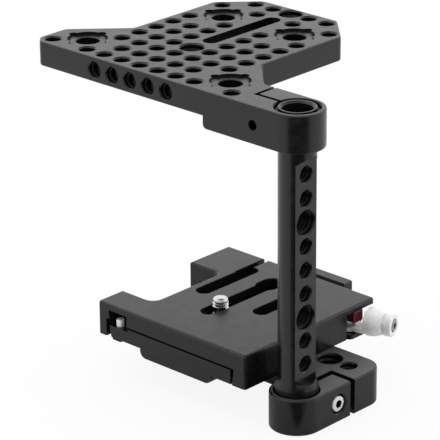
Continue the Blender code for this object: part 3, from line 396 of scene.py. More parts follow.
# The walls of the tripod hole, side hole and post bore take painted shade, as do the threads.
for (u, v), radius in ((TRIPOD_HOLE, LARGE_R), (SIDE_HOLE, SMALL_R), ((POST_U, POST_V), BORE_R)):
    shade_hole_wall(bracket, (u, v, 0.0), UP, radius)
# The bracket's top face takes the paler copy: painted light.
for face in bracket.faces:
    if face.normal.z > 0.99 and face.calc_center_median().z > BRACKET_TOP - SAME:
        face.material_index = PAINTED_LIGHT_TOP
# The lower black here is the copy with less shine: painted shade.
fit("bracket", bracket, "bracket", "black_anodised", [SHADED_LOWER_BLACK, PAINTED_HIGHLIGHT_BLACK, PAINTED_SHADE_BLACK, PAINTED_LIGHT_BLACK],
    "side_arm_bracket")
threads = bmesh.new()
tapped_thread(threads, (*TRIPOD_HOLE, 0.0), UP, BRACKET_TOP, LARGE_R, LARGE_PITCH)
tapped_thread(threads, (*SIDE_HOLE, 0.0), UP, BRACKET_TOP, SMALL_R, SMALL_PITCH)
fit("bracket_threads", threads, "bracket", "black_anodised", [PAINTED_SHADE_BLACK])

# Socket screws
# Cap screws with a knurled head and a hexagon socket. The three under the bar and the two in the
# rear stop are black; the lower clamp's is bright steel, and the upper clamp's is black.
AIR = 0.3
HEAD_H, SOCKET_R, SOCKET_DEEP, PAINTED_SHADE_SOCKET_FACE = 3.6, 1.75, 2.0, 1
KNURLS, KNURL_R, KNURL_DEEP = 36, HEAD_R - 0.15, 0.14
SCREW_PITCH, CORE_R = 0.7, SHANK_R - 0.35


def steel(name, colour, roughness, centre, axis, rings=0.00022, metallic=1.0):
    """Turned steel: fine rings round the lathe's axis, and a little unevenness in the shine."""
    material, tree, shader, where = new_finish(name)
    shader["Metallic"].default_value = metallic
    to_axis = axis.rotation_difference(UP).to_matrix()
    centre = to_axis @ (TO_FRAME @ Vector(centre))
    on_axis = node(tree, "Mapping", {"Vector": where, "Location": -centre, "Rotation": to_axis.to_euler()})
    lathe = node(tree, "TexWave", {"Vector": on_axis.outputs["Vector"], "Scale": 1.0 / (20.0 * rings),
                                   "Distortion": 1.5, "Detail": 2.0, "Detail Scale": 0.6},
                 wave_type="RINGS", rings_direction="Z")
    clouds = node(tree, "TexNoise", {"Vector": where, "Scale": 700.0, "Detail": 4.0})
    tint(tree, clouds, tuple(0.86 * part for part in colour), colour)
    shine(tree, clouds, roughness - 0.05, roughness + 0.06)
    relief(tree, lathe, 0.15, 0.02 * MM)
    return material


BRIGHT, SATIN, DULL, BLACK_OXIDE = (0.78, 0.78, 0.77), (0.90, 0.90, 0.89), grey(0.6), (0.045, 0.045, 0.048)
# A near-black steel for the socket's walls is painted shade in the recess.
SOCKET_PAINTED_SHADE = steel("socket_painted_shade_steel", grey(0.06), 0.45, (0.0, 0.0, 0.0), UP)


def hex_key(middle, facing, radius, length):
    """A hexagon key's shape, centred on a point along an axis."""
    bm = bmesh.new()
    bmesh.ops.create_cone(bm, cap_ends=True, segments=6, radius1=radius, radius2=radius, depth=length,
                          matrix=Matrix.Translation(middle) @ turn_to(facing))
    return bm


def outside_thread(bm, start, axis, length, core, crest, pitch, steps):
    """The thread's ridge round a screw's core, over a length of it."""
    section = [(core, 0.0), (crest, 0.42 * pitch), (crest, 0.58 * pitch), (core, pitch)]
    helix(bm, section, start, axis, length / pitch - 1.0, pitch, steps)


def socket_screw(name, seat, facing, shank, colour, body, slot, node_name):
    """A cap screw: knurled head with a hexagon socket, and a threaded shank."""
    at = Vector(seat) + facing * AIR
    bm = bmesh.new()
    turned(bm, [
        (CORE_R - 0.4, -shank), (CORE_R, 0.4 - shank), (CORE_R, 0.0), (KNURL_R, 0.0),
        (KNURL_R, HEAD_H - 0.5), (HEAD_R - 0.5, HEAD_H - 0.12), (HEAD_R - 0.75, HEAD_H)
    ], at, facing, 2 * KNURLS)
    local = turn_to(facing).to_3x3().inverted()
    for vert in bm.verts:
        place = local @ (vert.co - at)
        step = round(math.atan2(place.y, place.x) / math.tau * 2 * KNURLS)
        if step % 2 and abs(place.xy.length - KNURL_R) < SAME:
            vert.co -= (vert.co - at - facing * place.z).normalized() * KNURL_DEEP
    middle = at + facing * (HEAD_H - SOCKET_DEEP / 2 + PAST / 2)
    cut(bm, hex_key(middle, facing, SOCKET_R, SOCKET_DEEP + PAST))
    # The faces inside the hexagon socket take that painted shade.
    for face in bm.faces:
        place = local @ (face.calc_center_median() - at)
        if place.xy.length < SOCKET_R and 0.5 < place.z < HEAD_H - 0.1:
            face.material_index = PAINTED_SHADE_SOCKET_FACE
    metal = steel(name, colour, 0.3, at, facing)
    fit(name, bm, body, slot, [metal, SOCKET_PAINTED_SHADE], node_name, smooth=30.0)
    thread = bmesh.new()
    outside_thread(thread, at - facing * (shank - 0.5), facing, shank - 1.2, CORE_R - 0.05, SHANK_R,
                   SCREW_PITCH, 16)
    fit(name + "_thread", thread, body, slot, [metal])


for n, u in enumerate(BASE_SCREW_US, 1):
    socket_screw(f"base_screw_{n}", (u, BASE_SCREW_V, HEAD_SINK), -UP, 14.0, BLACK_OXIDE, "bracket",
                 "black_steel", f"bracket_screw_{n}")
socket_screw("lower_clamp_cap_screw", LOWER_SCREW_AT, RIGHT, 15.0, BRIGHT, "lower_clamp_screw",
             "bright_steel", "lower_clamp_screw")

# Quick-release receiver
# An extruded and milled slab of black aluminium whose dovetailed sides the camera plate slides on.
# A boss below straddles the bracket's bar, and a pocket on the right holds the lock.
BASE_FRONT, BASE_BACK, BASE_LOW, BASE_TOP = -9.5, 66.5, 15.0, 21.6
BASE_LEFT, BASE_RIGHT, DOVETAIL = 37.1, 103.9, 1.0
REBATE_U, REBATE_Z = 47.3, 20.0
BOSS_LEFT, BOSS_RIGHT, BOSS_LOW, BOSS_ROUND = 54.0, 92.0, 11.3, 3.0
POCKET_FLOOR, SHOE_FROM, SHOE_TO, SHOE_WALL, SHOE_SLOPE = 16.8, 38.4, 53.2, 99.5, 15.0
RECESS_U, LUG_LEFT, LUG_RIGHT, LUG_FROM, LUG_TO = 97.6, 91.6, 110.0, 51.4, 61.9
BAR_SEAT, LUG_TOP, LUG_ROUND = BASE_LOW + 0.1, 19.0, 2.0
SEAM, SEAM_DEEP = 0.5, 2.5
PIVOT_U, PIVOT_V, PIVOT_R = 103.8, 57.85, 2.0
BUTTON_V, STEM_Z, STEM_R = 57.0, 23.5, 1.2
GUIDE_LEFT, GUIDE_RIGHT, GUIDE_HALF, GUIDE_TOP, GUIDE_BREAK = 94.6, 97.4, 2.2, 26.2, 0.3
PIN_U, PIN_V, PIN_R, PIN_POCKET_R, PIN_POCKET_TOP = 40.85, -6.75, 1.55, 2.4, 17.7
STOP_SCREW_US, STOP_SCREW_Z, STOP_SCREW_DEEP, ROOF_OVER_SCREW = (66.5, 86.5), 18.4, 7.2, 2.6
PIN_AT = (PIN_U, PIN_V, 0.0)


def long_bar(section, from_v, to_v):
    """A bar along v from its section in u and z."""
    bm = slab([(u, -z) for u, z in section], from_v, to_v)
    move(bm, Matrix(((1, 0, 0, 0), (0, 0, 1, 0), (0, -1, 0, 0), (0, 0, 0, 1))))
    return bm


def round_corners(bm, us, vs, radius, segments=10):
    """Round the upright corners where these sides of a blank meet."""
    for u in us:
        for v in vs:
            round_corner(bm, (u, v), radius, segments)


def join(bm, other):
    """Fuse another shape on to a blank."""
    boolean(bm, other, "UNION")


rebate_left = BASE_LEFT + DOVETAIL * (BASE_TOP - REBATE_Z) / (BASE_TOP - BASE_LOW)
receiver = long_bar([
    (BASE_LEFT + DOVETAIL, BASE_LOW), (BOSS_LEFT, BASE_LOW), (BOSS_LEFT, BOSS_LOW),
    (BOSS_RIGHT, BOSS_LOW), (BOSS_RIGHT, BASE_LOW), (BASE_RIGHT - DOVETAIL, BASE_LOW),
    (BASE_RIGHT, BASE_TOP), (REBATE_U, BASE_TOP), (REBATE_U, REBATE_Z), (rebate_left, REBATE_Z)
], BASE_FRONT, BASE_BACK)
boss_edges = [e for e in receiver.edges if all(abs(v.co.z - BOSS_LOW) < SAME for v in e.verts)
              and abs(e.verts[0].co.y - e.verts[1].co.y) > 1.0]
soften(receiver, boss_edges, BOSS_ROUND, 8)
break_edges(receiver, sharp_edges(receiver), FINE_BREAK)
lug = box((LUG_LEFT, LUG_FROM, BAR_SEAT), (LUG_RIGHT, LUG_TO, LUG_TOP))
round_corners(lug, (LUG_RIGHT,), (LUG_FROM, LUG_TO), LUG_ROUND)
join(receiver, lug)
far_u = SHOE_WALL - math.tan(math.radians(SHOE_SLOPE)) * (SHOE_TO - SHOE_FROM)
outside, behind, over, before = LUG_RIGHT + PAST, BASE_BACK + PAST, BASE_TOP + PAST, BASE_FRONT - PAST
cut(receiver, slab([(outside, SHOE_FROM), (SHOE_WALL, SHOE_FROM), (far_u, SHOE_TO), (RECESS_U, SHOE_TO),
                    (RECESS_U, behind), (outside, behind)], POCKET_FLOOR, over))
cut(receiver, box((BASE_LEFT - PAST, before, BASE_TOP - SEAM),
                  (BASE_RIGHT + PAST, BASE_FRONT + SEAM_DEEP, over)))
cut(receiver, box((BASE_RIGHT - DOVETAIL - SEAM, before, BASE_LOW - PAST),
                  (BASE_RIGHT + PAST, BASE_FRONT + SEAM_DEEP, over)))
guide = box((GUIDE_LEFT, BUTTON_V - GUIDE_HALF, BASE_TOP - PAST),
            (GUIDE_RIGHT, BUTTON_V + GUIDE_HALF, GUIDE_TOP))
break_edges(guide, rim_edges(guide, GUIDE_TOP), GUIDE_BREAK)
join(receiver, guide)
cut(receiver, box((BOSS_LEFT - PAST, BAR_FRONT - AIR, BOSS_LOW - PAST),
                  (BOSS_RIGHT + PAST, BAR_BACK + AIR, BAR_SEAT)))
tool = bmesh.new()
bore = SHANK_R + SCREW_AIR
for u in BASE_SCREW_US:
    drill(tool, (u, BASE_SCREW_V, BASE_LOW), UP, BASE_TOP - BASE_LOW - ROOF_OVER_SCREW, bore, 0.0,
          through=False)
for u in STOP_SCREW_US:
    drill(tool, (u, BASE_BACK, STOP_SCREW_Z), -REAR, STOP_SCREW_DEEP, bore, 0.0, through=False)
drill(tool, (PIVOT_U, PIVOT_V, BAR_SEAT), UP, POCKET_FLOOR - BAR_SEAT, PIVOT_R + AIR, 0.1)
turned(tool, [
    (PIN_POCKET_R, BASE_LOW - PAST), (PIN_POCKET_R, PIN_POCKET_TOP), (PIN_R + AIR, PIN_POCKET_TOP),
    (PIN_R + AIR, REBATE_Z + PAST)
], PIN_AT, UP)
cut(receiver, tool)
tool = bmesh.new()
drill(tool, (GUIDE_LEFT, BUTTON_V, STEM_Z), RIGHT, GUIDE_RIGHT - GUIDE_LEFT, STEM_R + AIR, 0.2)
cut(receiver, tool)
# The lower black here is the copy with less shine: painted shade.
fit("receiver", receiver, "bracket", "black_anodised", [SHADED_LOWER_BLACK, PAINTED_HIGHLIGHT_BLACK], "dovetail_base")

# Rear stop
# A short bar screwed across the receiver's far end, as high as the camera plate, so that the plate
# comes to rest against it when it is pushed home.
STOP_LEFT, STOP_RIGHT, STOP_FRONT, STOP_BACK, PLATE_TOP = 60.0, 93.0, 66.8, 73.0, 29.0
STOP_ROUND, STOP_LIP = 1.2, 1.1
LAID_ACROSS = Matrix(((0, 0, 1, 0), (1, 0, 0, 0), (0, 1, 0, 0), (0, 0, 0, 1)))
stop = box((STOP_LEFT, STOP_FRONT, BASE_LOW), (STOP_RIGHT, STOP_BACK, PLATE_TOP))
round_corners(stop, (STOP_LEFT, STOP_RIGHT), (STOP_FRONT, STOP_BACK), STOP_ROUND, 6)
break_edges(stop, rim_edges(stop, BASE_LOW, PLATE_TOP), EDGE_BREAK, 3)
lip = slab([(STOP_FRONT - PAST, PLATE_TOP - STOP_LIP), (STOP_FRONT, PLATE_TOP - STOP_LIP),
            (STOP_FRONT + STOP_LIP + PAST, PLATE_TOP + PAST), (STOP_FRONT - PAST, PLATE_TOP + PAST)],
           STOP_LEFT - PAST, STOP_RIGHT + PAST)
move(lip, LAID_ACROSS)
cut(stop, lip)
tool = bmesh.new()
stop_thick = STOP_BACK - STOP_FRONT
for n, u in enumerate(STOP_SCREW_US, 1):
    seat = Vector((u, STOP_BACK - HEAD_SINK, STOP_SCREW_Z))
    screw_seat(tool, seat, REAR, stop_thick, stop_thick - TAP_LONG)
    socket_screw(f"stop_screw_{n}", seat, REAR, 8.0, BLACK_OXIDE, "bracket", "black_steel",
                 f"rear_stop_screw_{n}")
cut(stop, tool)
# The lip's sloping face takes painted shade, in the gap at the camera plate's end.
stop.normal_update()
for face in stop.faces:
    if face.normal.y < -0.6 and face.normal.z > 0.6 and face.calc_area() > 5.0:
        face.material_index = PAINTED_SHADE
fit("rear_stop_bar", stop, "bracket", "black_anodised", [SHADED_LOWER_BLACK, PAINTED_HIGHLIGHT_BLACK, PAINTED_SHADE_BLACK], "rear_stop")

# Stop pin
# A satin turned pin with a flat end, lifted by a conical spring in a pocket of the receiver. A
# small black cover closes the pocket from below and carries the spring.
PIN_TOP, PIN_FLANGE_R, PIN_FLANGE_LOW, PIN_FLANGE_HIGH = 22.9, 2.1, 16.9, 17.4
PIN_WIRE_R, PIN_COIL_LOW_R, PIN_COIL_HIGH_R, PIN_COIL_TURNS, WIRE_AIR = 0.15, 1.8, 1.0, 2, 0.15
COVER_HALF, COVER_LOW, COVER_ROUND, COVER_BREAK = 2.6, 14.2, 1.0, 0.25
pin = bmesh.new()
turned(pin, [
    (PIN_FLANGE_R, PIN_FLANGE_LOW), (PIN_FLANGE_R, PIN_FLANGE_HIGH), (PIN_R, PIN_FLANGE_HIGH),
    (PIN_R, PIN_TOP - 0.35), (PIN_R - 0.1, PIN_TOP - 0.1), (PIN_R - 0.35, PIN_TOP)
], PIN_AT, UP)
fit("stop_pin_turned", pin, "stop_pin", "bright_steel",
    [steel("stop_pin_steel", SATIN, 0.5, PIN_AT, UP, metallic=0.15)], "stop_pin")


def coil(bm, radius, wire, turns, start, axis, length, sides=10):
    """A spring of round wire on an axis, as long as its space."""
    section = [(radius + wire * math.cos(a), wire + wire * math.sin(a))
               for a in (math.tau * n / sides for n in range(sides))]
    helix(bm, section, start, axis, turns, (length - 2 * wire) / turns, 32)


coil_low, coil_high = BRACKET_TOP + WIRE_AIR, PIN_FLANGE_LOW - WIRE_AIR
spring = bmesh.new()
coil(spring, PIN_COIL_LOW_R, PIN_WIRE_R, PIN_COIL_TURNS, (PIN_U, PIN_V, coil_low), UP, coil_high - coil_low)
for vert in spring.verts:
    out = vert.co - Vector((PIN_U, PIN_V, vert.co.z))
    share = (vert.co.z - coil_low) / (coil_high - coil_low)
    vert.co -= out.normalized() * (PIN_COIL_LOW_R - PIN_COIL_HIGH_R) * share
pin_spring = fit("pin_return_spring", spring, "bracket", "bright_steel",
                 [steel("pin_spring_steel", BRIGHT, 0.25, PIN_AT, UP)], "stop_pin_spring")
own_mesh(pin_spring)
cover_us, cover_vs = ((at - COVER_HALF, at + COVER_HALF) for at in (PIN_U, PIN_V))
cover = box((cover_us[0], cover_vs[0], COVER_LOW), (cover_us[1], cover_vs[1], BRACKET_TOP))
round_corners(cover, cover_us, cover_vs, COVER_ROUND, 6)
break_edges(cover, rim_edges(cover, COVER_LOW), COVER_BREAK)
# The lower black here is the copy with less shine: painted shade.
fit("pin_pocket_cover", cover, "bracket", "black_anodised", [SHADED_LOWER_BLACK, PAINTED_HIGHLIGHT_BLACK], "stop_pin_cover")

# Lever
# A satin steel cam lever on a shoulder screw. Its arm is turned like a bell, and its wide end is
# milled to a jaw below the catch and a horn beside it. A turned grip is screwed to its end.
LEVER_TURN, LEVER_OPEN, LEVER_Z = 17.3, 75.0, 21.1
EAR_R, EAR_LOW, EAR_HIGH, EAR_HALF, EAR_END = 5.0, 17.1, 18.4, 3.1, 8.0
CAM_AIM, CAM_REACH, CAM_DROP, CAM_STEPS = 262.0, 6.7, 25.0, 60
BELL_R, BELL_FROM, BELL_TIP = 5.75, 2.0, 15.3
JAW_U, JAW_LOW, JAW_TOP, JAW_TO, JAW_TIP = 108.4, EAR_LOW + 0.1, 19.4, 8.9, 9.0
HORN_FROM, HORN_LOW, HORN_TOP, HORN_TO = 8.0, 20.6, 26.2, 10.5
KNOB_R, KNOB_END, KNOB_SINK_R, KNOB_SINK, KNOB_IN = 4.6, 19.3, 2.7, 1.6, -0.25
GRIP_KEY_R, GRIP_KEY_LONG, GRIP_KEY_MIDDLE = 1.3, 2.0, 1.6
PIVOT_HEAD_R, PIVOT_HEAD_H, PIVOT_HEAD_LOW, PIVOT_SLOT_HALF = 2.8, 0.9, EAR_HIGH + AIR, 0.4
pivot = Vector((PIVOT_U, PIVOT_V, 0.0))
lever_turn = Matrix.Translation(pivot) @ Matrix.Rotation(math.radians(LEVER_TURN), 4, "Z")
along = (lever_turn.to_3x3() @ RIGHT).normalized()
lever = bmesh.new()
turned(lever, [
    (BELL_R, BELL_FROM), (BELL_R, 10.0), (5.7, 10.8), (5.57, 11.7), (5.35, 12.6), (5.03, 13.6),
    (4.66, 14.6), (4.4, 15.2), (4.2, BELL_TIP)
], (0.0, 0.0, LEVER_Z), RIGHT, 64)
wide = 2 * BELL_R
above, below = LEVER_Z + wide, LEVER_Z - wide
cut(lever, long_bar([(0.0, JAW_TOP), (JAW_TIP, JAW_TOP), (HORN_FROM, HORN_LOW), (HORN_FROM, HORN_TOP),
                     (HORN_TO, HORN_TOP), (HORN_TO, above), (0.0, above)], -wide, wide))
cut(lever, long_bar([(0.0, below), (JAW_TO, below), (JAW_TO, JAW_LOW), (0.0, JAW_LOW)], -wide, wide))
side = box((PIVOT_U - wide, PIVOT_V - wide, EAR_LOW - PAST), (JAW_U, PIVOT_V + wide, JAW_TOP + PAST))
move(side, lever_turn.inverted())
cut(lever, side)
cam = []
for n in range(CAM_STEPS):
    angle = n * math.tau / CAM_STEPS
    behind_cam = CAM_AIM - LEVER_TURN - math.degrees(angle)
    rise = max(0.0, 1.0 - abs(behind_cam) / (LEVER_OPEN if behind_cam > 0.0 else CAM_DROP))
    reach = EAR_R + rise * (CAM_REACH - EAR_R)
    cam.append((reach * math.cos(angle), reach * math.sin(angle)))
ear = slab(cam, EAR_LOW, EAR_HIGH)
join(ear, box((0.0, -EAR_HALF, EAR_LOW), (EAR_END, EAR_HALF, EAR_HIGH)))
join(lever, ear)
tool = bmesh.new()
drill(tool, (0.0, 0.0, EAR_LOW), UP, EAR_HIGH - EAR_LOW, PIVOT_R + AIR, 0.2)
cut(lever, tool)
move(lever, lever_turn)
bell_axis = lever_turn @ Vector((0.0, 0.0, LEVER_Z))
fit("cam_lever", lever, "lever", "bright_steel",
    [steel("lever_steel", SATIN, 0.5, bell_axis, along, metallic=0.25)], "lock_lever")
knob_start = lever_turn @ Vector((BELL_TIP + AIR, 0.0, LEVER_Z))
knob_long = KNOB_END - BELL_TIP - AIR
knob_bore, knob_seat = SHANK_R + SCREW_AIR, knob_long - KNOB_SINK
knob = bmesh.new()
turned(knob, [
    (knob_bore, KNOB_IN), (KNOB_R - 0.5, KNOB_IN), (KNOB_R - 0.35, 0.15), (KNOB_R - 0.1, 0.5),
    (KNOB_R, 0.9), (KNOB_R, knob_long - 0.6), (KNOB_R - 0.17, knob_long - 0.17),
    (KNOB_R - 0.6, knob_long), (KNOB_SINK_R + 0.2, knob_long), (KNOB_SINK_R, knob_long - 0.2),
    (KNOB_SINK_R, knob_seat), (knob_bore, knob_seat), (knob_bore, KNOB_IN)
], knob_start, along, 64)
fit("lever_grip", knob, "lever", "bright_steel",
    [steel("grip_steel", SATIN, 0.45, knob_start, along, metallic=0.25)], "lever_knob")
knob_head = lever_turn @ Vector((KNOB_END - KNOB_SINK + AIR, 0.0, LEVER_Z))
shank, head = knob_bore - AIR, KNOB_SINK_R - AIR
knob_screw = bmesh.new()
turned(knob_screw, [(shank, -knob_seat), (shank, 0.0), (head, 0.0), (head, 1.3), (head - 0.2, 1.5)],
       knob_head, along)
cut(knob_screw, hex_key(knob_head + along * GRIP_KEY_MIDDLE, along, GRIP_KEY_R, GRIP_KEY_LONG))
fit("grip_screw", knob_screw, "lever", "black_steel",
    [steel("grip_screw_steel", grey(0.32), 0.3, knob_head, along)], "lever_knob_screw")
pivot_screw = bmesh.new()
pivot_top = PIVOT_HEAD_LOW + PIVOT_HEAD_H
turned(pivot_screw, [
    (PIVOT_R, BASE_LOW), (PIVOT_R, PIVOT_HEAD_LOW), (PIVOT_HEAD_R, PIVOT_HEAD_LOW),
    (PIVOT_HEAD_R, pivot_top - 0.2), (PIVOT_HEAD_R - 0.2, pivot_top)
], pivot, UP)
cut(pivot_screw, box((PIVOT_U - 2 * PIVOT_R, PIVOT_V - PIVOT_SLOT_HALF, pivot_top - 0.5),
                     (PIVOT_U + 2 * PIVOT_R, PIVOT_V + PIVOT_SLOT_HALF, pivot_top + PAST)))
fit("lever_shoulder_screw", pivot_screw, "bracket", "bright_steel",
    [steel("pivot_steel", DULL, 0.3, pivot, UP)], "lever_pivot_screw")

# Lock shoe
# A brass wedge between the lever's cam and a sloping wall of the pocket. The cam pushes it along
# the wall, and it moves out against the camera plate's leg.
SHOE_MIDDLE, BRASS, MILL_MARKS = (103.2, 45.0, 19.0), (0.62, 0.46, 0.18), 0.0003


def refinish(node_name, material):
    """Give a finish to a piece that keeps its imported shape."""
    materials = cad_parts[node_name].data.materials
    materials.clear()
    materials.append(material)


refinish("lock_shoe", steel("shoe_brass", BRASS, 0.34, SHOE_MIDDLE, RIGHT, MILL_MARKS))

# Safety catch
# A red moulded button that keeps the lever from opening until it is pressed. Its stem runs through
# the receiver's guide, with a coil spring in front and a snap ring behind.
BUTTON_IN, BUTTON_OUT, BUTTON_LOW, BUTTON_HIGH, BUTTON_HALF = 105.8, 109.6, 21.0, 26.1, 2.8
# The catch's red is darker than its own colour: part real red, part painted shade under the plate.
BUTTON_ROUND, BUTTON_RIM, CATCH_RED_AND_SHADE = 0.8, 0.75, ((0.10, 0.004, 0.010), (0.15, 0.006, 0.015))
STEM_END, CLIP_U, CLIP_THICK, CLIP_AIR, CLIP_R = 93.0, 94.0, 0.6, 0.1, 0.75
CATCH_COIL_R, CATCH_WIRE_R, CATCH_TURNS = 1.8, 0.25, 5


def moulded(name, dark, light):
    """Moulded plastic: an even colour with a faint flow pattern and an orange-peel skin."""
    material, tree, _, where = new_finish(name)
    flow = node(tree, "TexNoise", {"Vector": where, "Scale": 450.0, "Detail": 3.0, "Distortion": 1.2})
    skin = node(tree, "TexNoise", {"Vector": where, "Scale": 2600.0, "Detail": 1.0})
    tint(tree, flow, dark, light)
    shine(tree, skin, 0.28, 0.38)
    relief(tree, skin, 0.2, 0.03 * MM)
    return material


button = box((BUTTON_IN, BUTTON_V - BUTTON_HALF, BUTTON_LOW),
             (BUTTON_OUT, BUTTON_V + BUTTON_HALF, BUTTON_HIGH))
long_edges = [e for e in button.edges if abs(e.verts[0].co.x - e.verts[1].co.x) > 1.0]
soften(button, long_edges, BUTTON_ROUND, 5)
rim = [e for e in sharp_edges(button) if all(v.co.x > BUTTON_OUT - SAME for v in e.verts)]
soften(button, rim, BUTTON_RIM, 5)
stem = bmesh.new()
clip_from, clip_to = CLIP_U - CLIP_THICK - CLIP_AIR, CLIP_U + CLIP_AIR
turned(stem, [
    (STEM_R - 0.2, STEM_END), (STEM_R, STEM_END + 0.2), (STEM_R, clip_from), (CLIP_R, clip_from),
    (CLIP_R, clip_to), (STEM_R, clip_to), (STEM_R, BUTTON_IN + PAST)
], (0.0, BUTTON_V, STEM_Z), RIGHT, 32)
join(button, stem)
# The moulding's colour is the red darkened by painted shade.
fit("red_catch", button, "safety_button", "red_plastic", [moulded("red_moulding_painted_shade", *CATCH_RED_AND_SHADE)],
    "safety_button")
coil_from, coil_to = GUIDE_RIGHT + AIR, BUTTON_IN - AIR
spring = bmesh.new()
coil(spring, CATCH_COIL_R, CATCH_WIRE_R, CATCH_TURNS, (coil_from, BUTTON_V, STEM_Z), RIGHT,
     coil_to - coil_from)
catch_spring = fit("catch_return_spring", spring, "bracket", "bright_steel",
                   [steel("catch_spring_steel", BRIGHT, 0.25, (0.0, BUTTON_V, STEM_Z), RIGHT)],
                   "safety_button_spring")
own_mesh(catch_spring)
refinish("safety_button_clip", steel("snap_ring_steel", grey(0.5), 0.3, (CLIP_U, BUTTON_V, STEM_Z), RIGHT))

# Camera plate
# An inverted channel of black aluminium that slides on the receiver and carries the camera. Slots
# take the camera's screws, a notch gives room for a finger, and a window in front shows the pin.
PLATE_LEFT, PLATE_RIGHT, PLATE_FRONT, PLATE_BACK, PLATE_WEB = 31.3, 110.0, -9.5, 65.9, 21.9
LEG_AIR, PLATE_ROUND, PLATE_BREAK = 0.4, 1.15, 1.1
LEG_LEFT, LEG_RIGHT = BASE_LEFT - LEG_AIR, BASE_RIGHT + LEG_AIR
NOTCH_U, NOTCH_FROM, NOTCH_TO, NOTCH_ROUND = 48.5, 4.2, 43.0, 4.0
SLOT_HALF, SIDE_SLOT_US, SIDE_SLOT_FROM, SIDE_SLOT_TO = 3.4, (55.5, 86.2), 22.5, 56.0
MID_U, MID_FROM, MID_TO = 70.8, 9.0, 53.0
KEYHOLE_FROM, KEYHOLE_TO, KEYHOLE_HALF = 41.5, 54.0, 4.8
WINDOW_LEFT, WINDOW_RIGHT, WINDOW_TOP = 37.2, 47.0, 26.4
GROOVE_LEFT, GROOVE_RIGHT, GROOVE_FROM, GROOVE_FLOOR = 51.4, 54.4, 48.0, 25.0
FRONT_SEAM_HALF, FRONT_SEAM_TOP = 1.0, 22.6
LEVER_ROOM_U, LEVER_ROOM_V, SIDE_ROOM_U, SIDE_ROOM_V, ROOM_TOP = 90.9, 50.8, 108.6, 16.0, 26.5
CHANNEL_FROM, CHANNEL_TO, CHANNEL_HALF, CHANNEL_TOP = MID_FROM - 2.8, 56.0, 6.2, 25.9


def slot(centre_u, from_v, to_v, half, low, high):
    """A slot with round ends along v."""
    sides = (centre_u - half, centre_u + half)
    bm = box((sides[0], from_v, low), (sides[1], to_v, high))
    round_corners(bm, sides, (from_v, to_v), half, 12)
    return bm


plate = long_bar([
    (PLATE_LEFT, BASE_LOW), (LEG_LEFT + DOVETAIL, BASE_LOW), (LEG_LEFT, PLATE_WEB),
    (LEG_RIGHT, PLATE_WEB), (LEG_RIGHT - DOVETAIL, BASE_LOW), (PLATE_RIGHT, BASE_LOW),
    (PLATE_RIGHT, PLATE_TOP), (PLATE_LEFT, PLATE_TOP)
], PLATE_FRONT, PLATE_BACK)
round_corners(plate, (PLATE_LEFT, PLATE_RIGHT), (PLATE_FRONT, PLATE_BACK), PLATE_ROUND, 8)
before, behind, outside = PLATE_FRONT - PAST, PLATE_BACK + PAST, PLATE_RIGHT + PAST
below, above = BASE_LOW - PAST, PLATE_TOP + PAST
notch = box((PLATE_LEFT - PAST, NOTCH_FROM, below), (NOTCH_U, NOTCH_TO, above))
round_corners(notch, (NOTCH_U,), (NOTCH_FROM, NOTCH_TO), NOTCH_ROUND)
cut(plate, notch)
break_edges(plate, rim_edges(plate, PLATE_TOP), PLATE_BREAK, 6)
for u in SIDE_SLOT_US:
    cut(plate, slot(u, SIDE_SLOT_FROM, SIDE_SLOT_TO, SLOT_HALF, below, above))
cut(plate, slot(MID_U, MID_FROM, MID_TO, SLOT_HALF, below, above))
cut(plate, slot(MID_U, KEYHOLE_FROM, KEYHOLE_TO, KEYHOLE_HALF, below, above))
cut(plate, box((WINDOW_LEFT, before, below), (WINDOW_RIGHT, NOTCH_FROM + PAST, WINDOW_TOP)))
cut(plate, box((GROOVE_LEFT, GROOVE_FROM, GROOVE_FLOOR), (GROOVE_RIGHT, behind, above)))
cut(plate, box((LEG_LEFT - FRONT_SEAM_HALF, before, below),
               (LEG_LEFT + FRONT_SEAM_HALF, PLATE_FRONT + SEAM_DEEP, FRONT_SEAM_TOP)))
cut(plate, box((LEVER_ROOM_U, LEVER_ROOM_V, below), (outside, behind, ROOM_TOP)))
cut(plate, slot(MID_U, CHANNEL_FROM, CHANNEL_TO, CHANNEL_HALF, below, CHANNEL_TOP))
cut(plate, box((SIDE_ROOM_U, SIDE_ROOM_V, below), (outside, LEVER_ROOM_V + PAST, ROOM_TOP)))
break_edges(plate, rim_edges(plate, PLATE_TOP), FINE_BREAK)
# The lower black here is the copy with less shine: painted shade.
fit("sliding_camera_plate", plate, "camera_plate", "black_anodised", [SHADED_LOWER_BLACK, PAINTED_HIGHLIGHT_BLACK],
    "camera_plate")

# Camera screw
# A bright quarter-inch screw, kept in the middle slot by a washer that slides in the channel under
# the plate. A coin slot in its head below tightens it into the camera.
SCREW_V, SCREW_R, SCREW_TIP, CAMERA_STEEL = 19.0, 3.15, 32.6, (0.62, 0.62, 0.61)
HEAD_LOW, HEAD_HIGH, COIN_HEAD_R, HEAD_BREAK = 22.3, 24.5, 5.6, 0.3
COIN_SLOT_HALF, COIN_SLOT_DEEP = 0.7, 1.1
NECK_R, THREAD_CORE, THREAD_LOW = SCREW_R - 0.75, SCREW_R - 0.8, PLATE_TOP - 1.4
THREAD_LONG = SCREW_TIP - 1.0 - THREAD_LOW
screw_at = Vector((MID_U, SCREW_V, 0.0))
screw = bmesh.new()
turned(screw, [
    (COIN_HEAD_R - HEAD_BREAK, HEAD_LOW), (COIN_HEAD_R, HEAD_LOW + HEAD_BREAK),
    (COIN_HEAD_R, HEAD_HIGH - HEAD_BREAK), (COIN_HEAD_R - HEAD_BREAK, HEAD_HIGH), (NECK_R, HEAD_HIGH),
    (NECK_R, SCREW_TIP - 1.5), (SCREW_R - 0.1, SCREW_TIP - 1.2), (SCREW_R - 0.15, SCREW_TIP - 0.7),
    (SCREW_R - 0.45, SCREW_TIP - 0.25), (SCREW_R - 0.9, SCREW_TIP)
], screw_at, UP, 48)
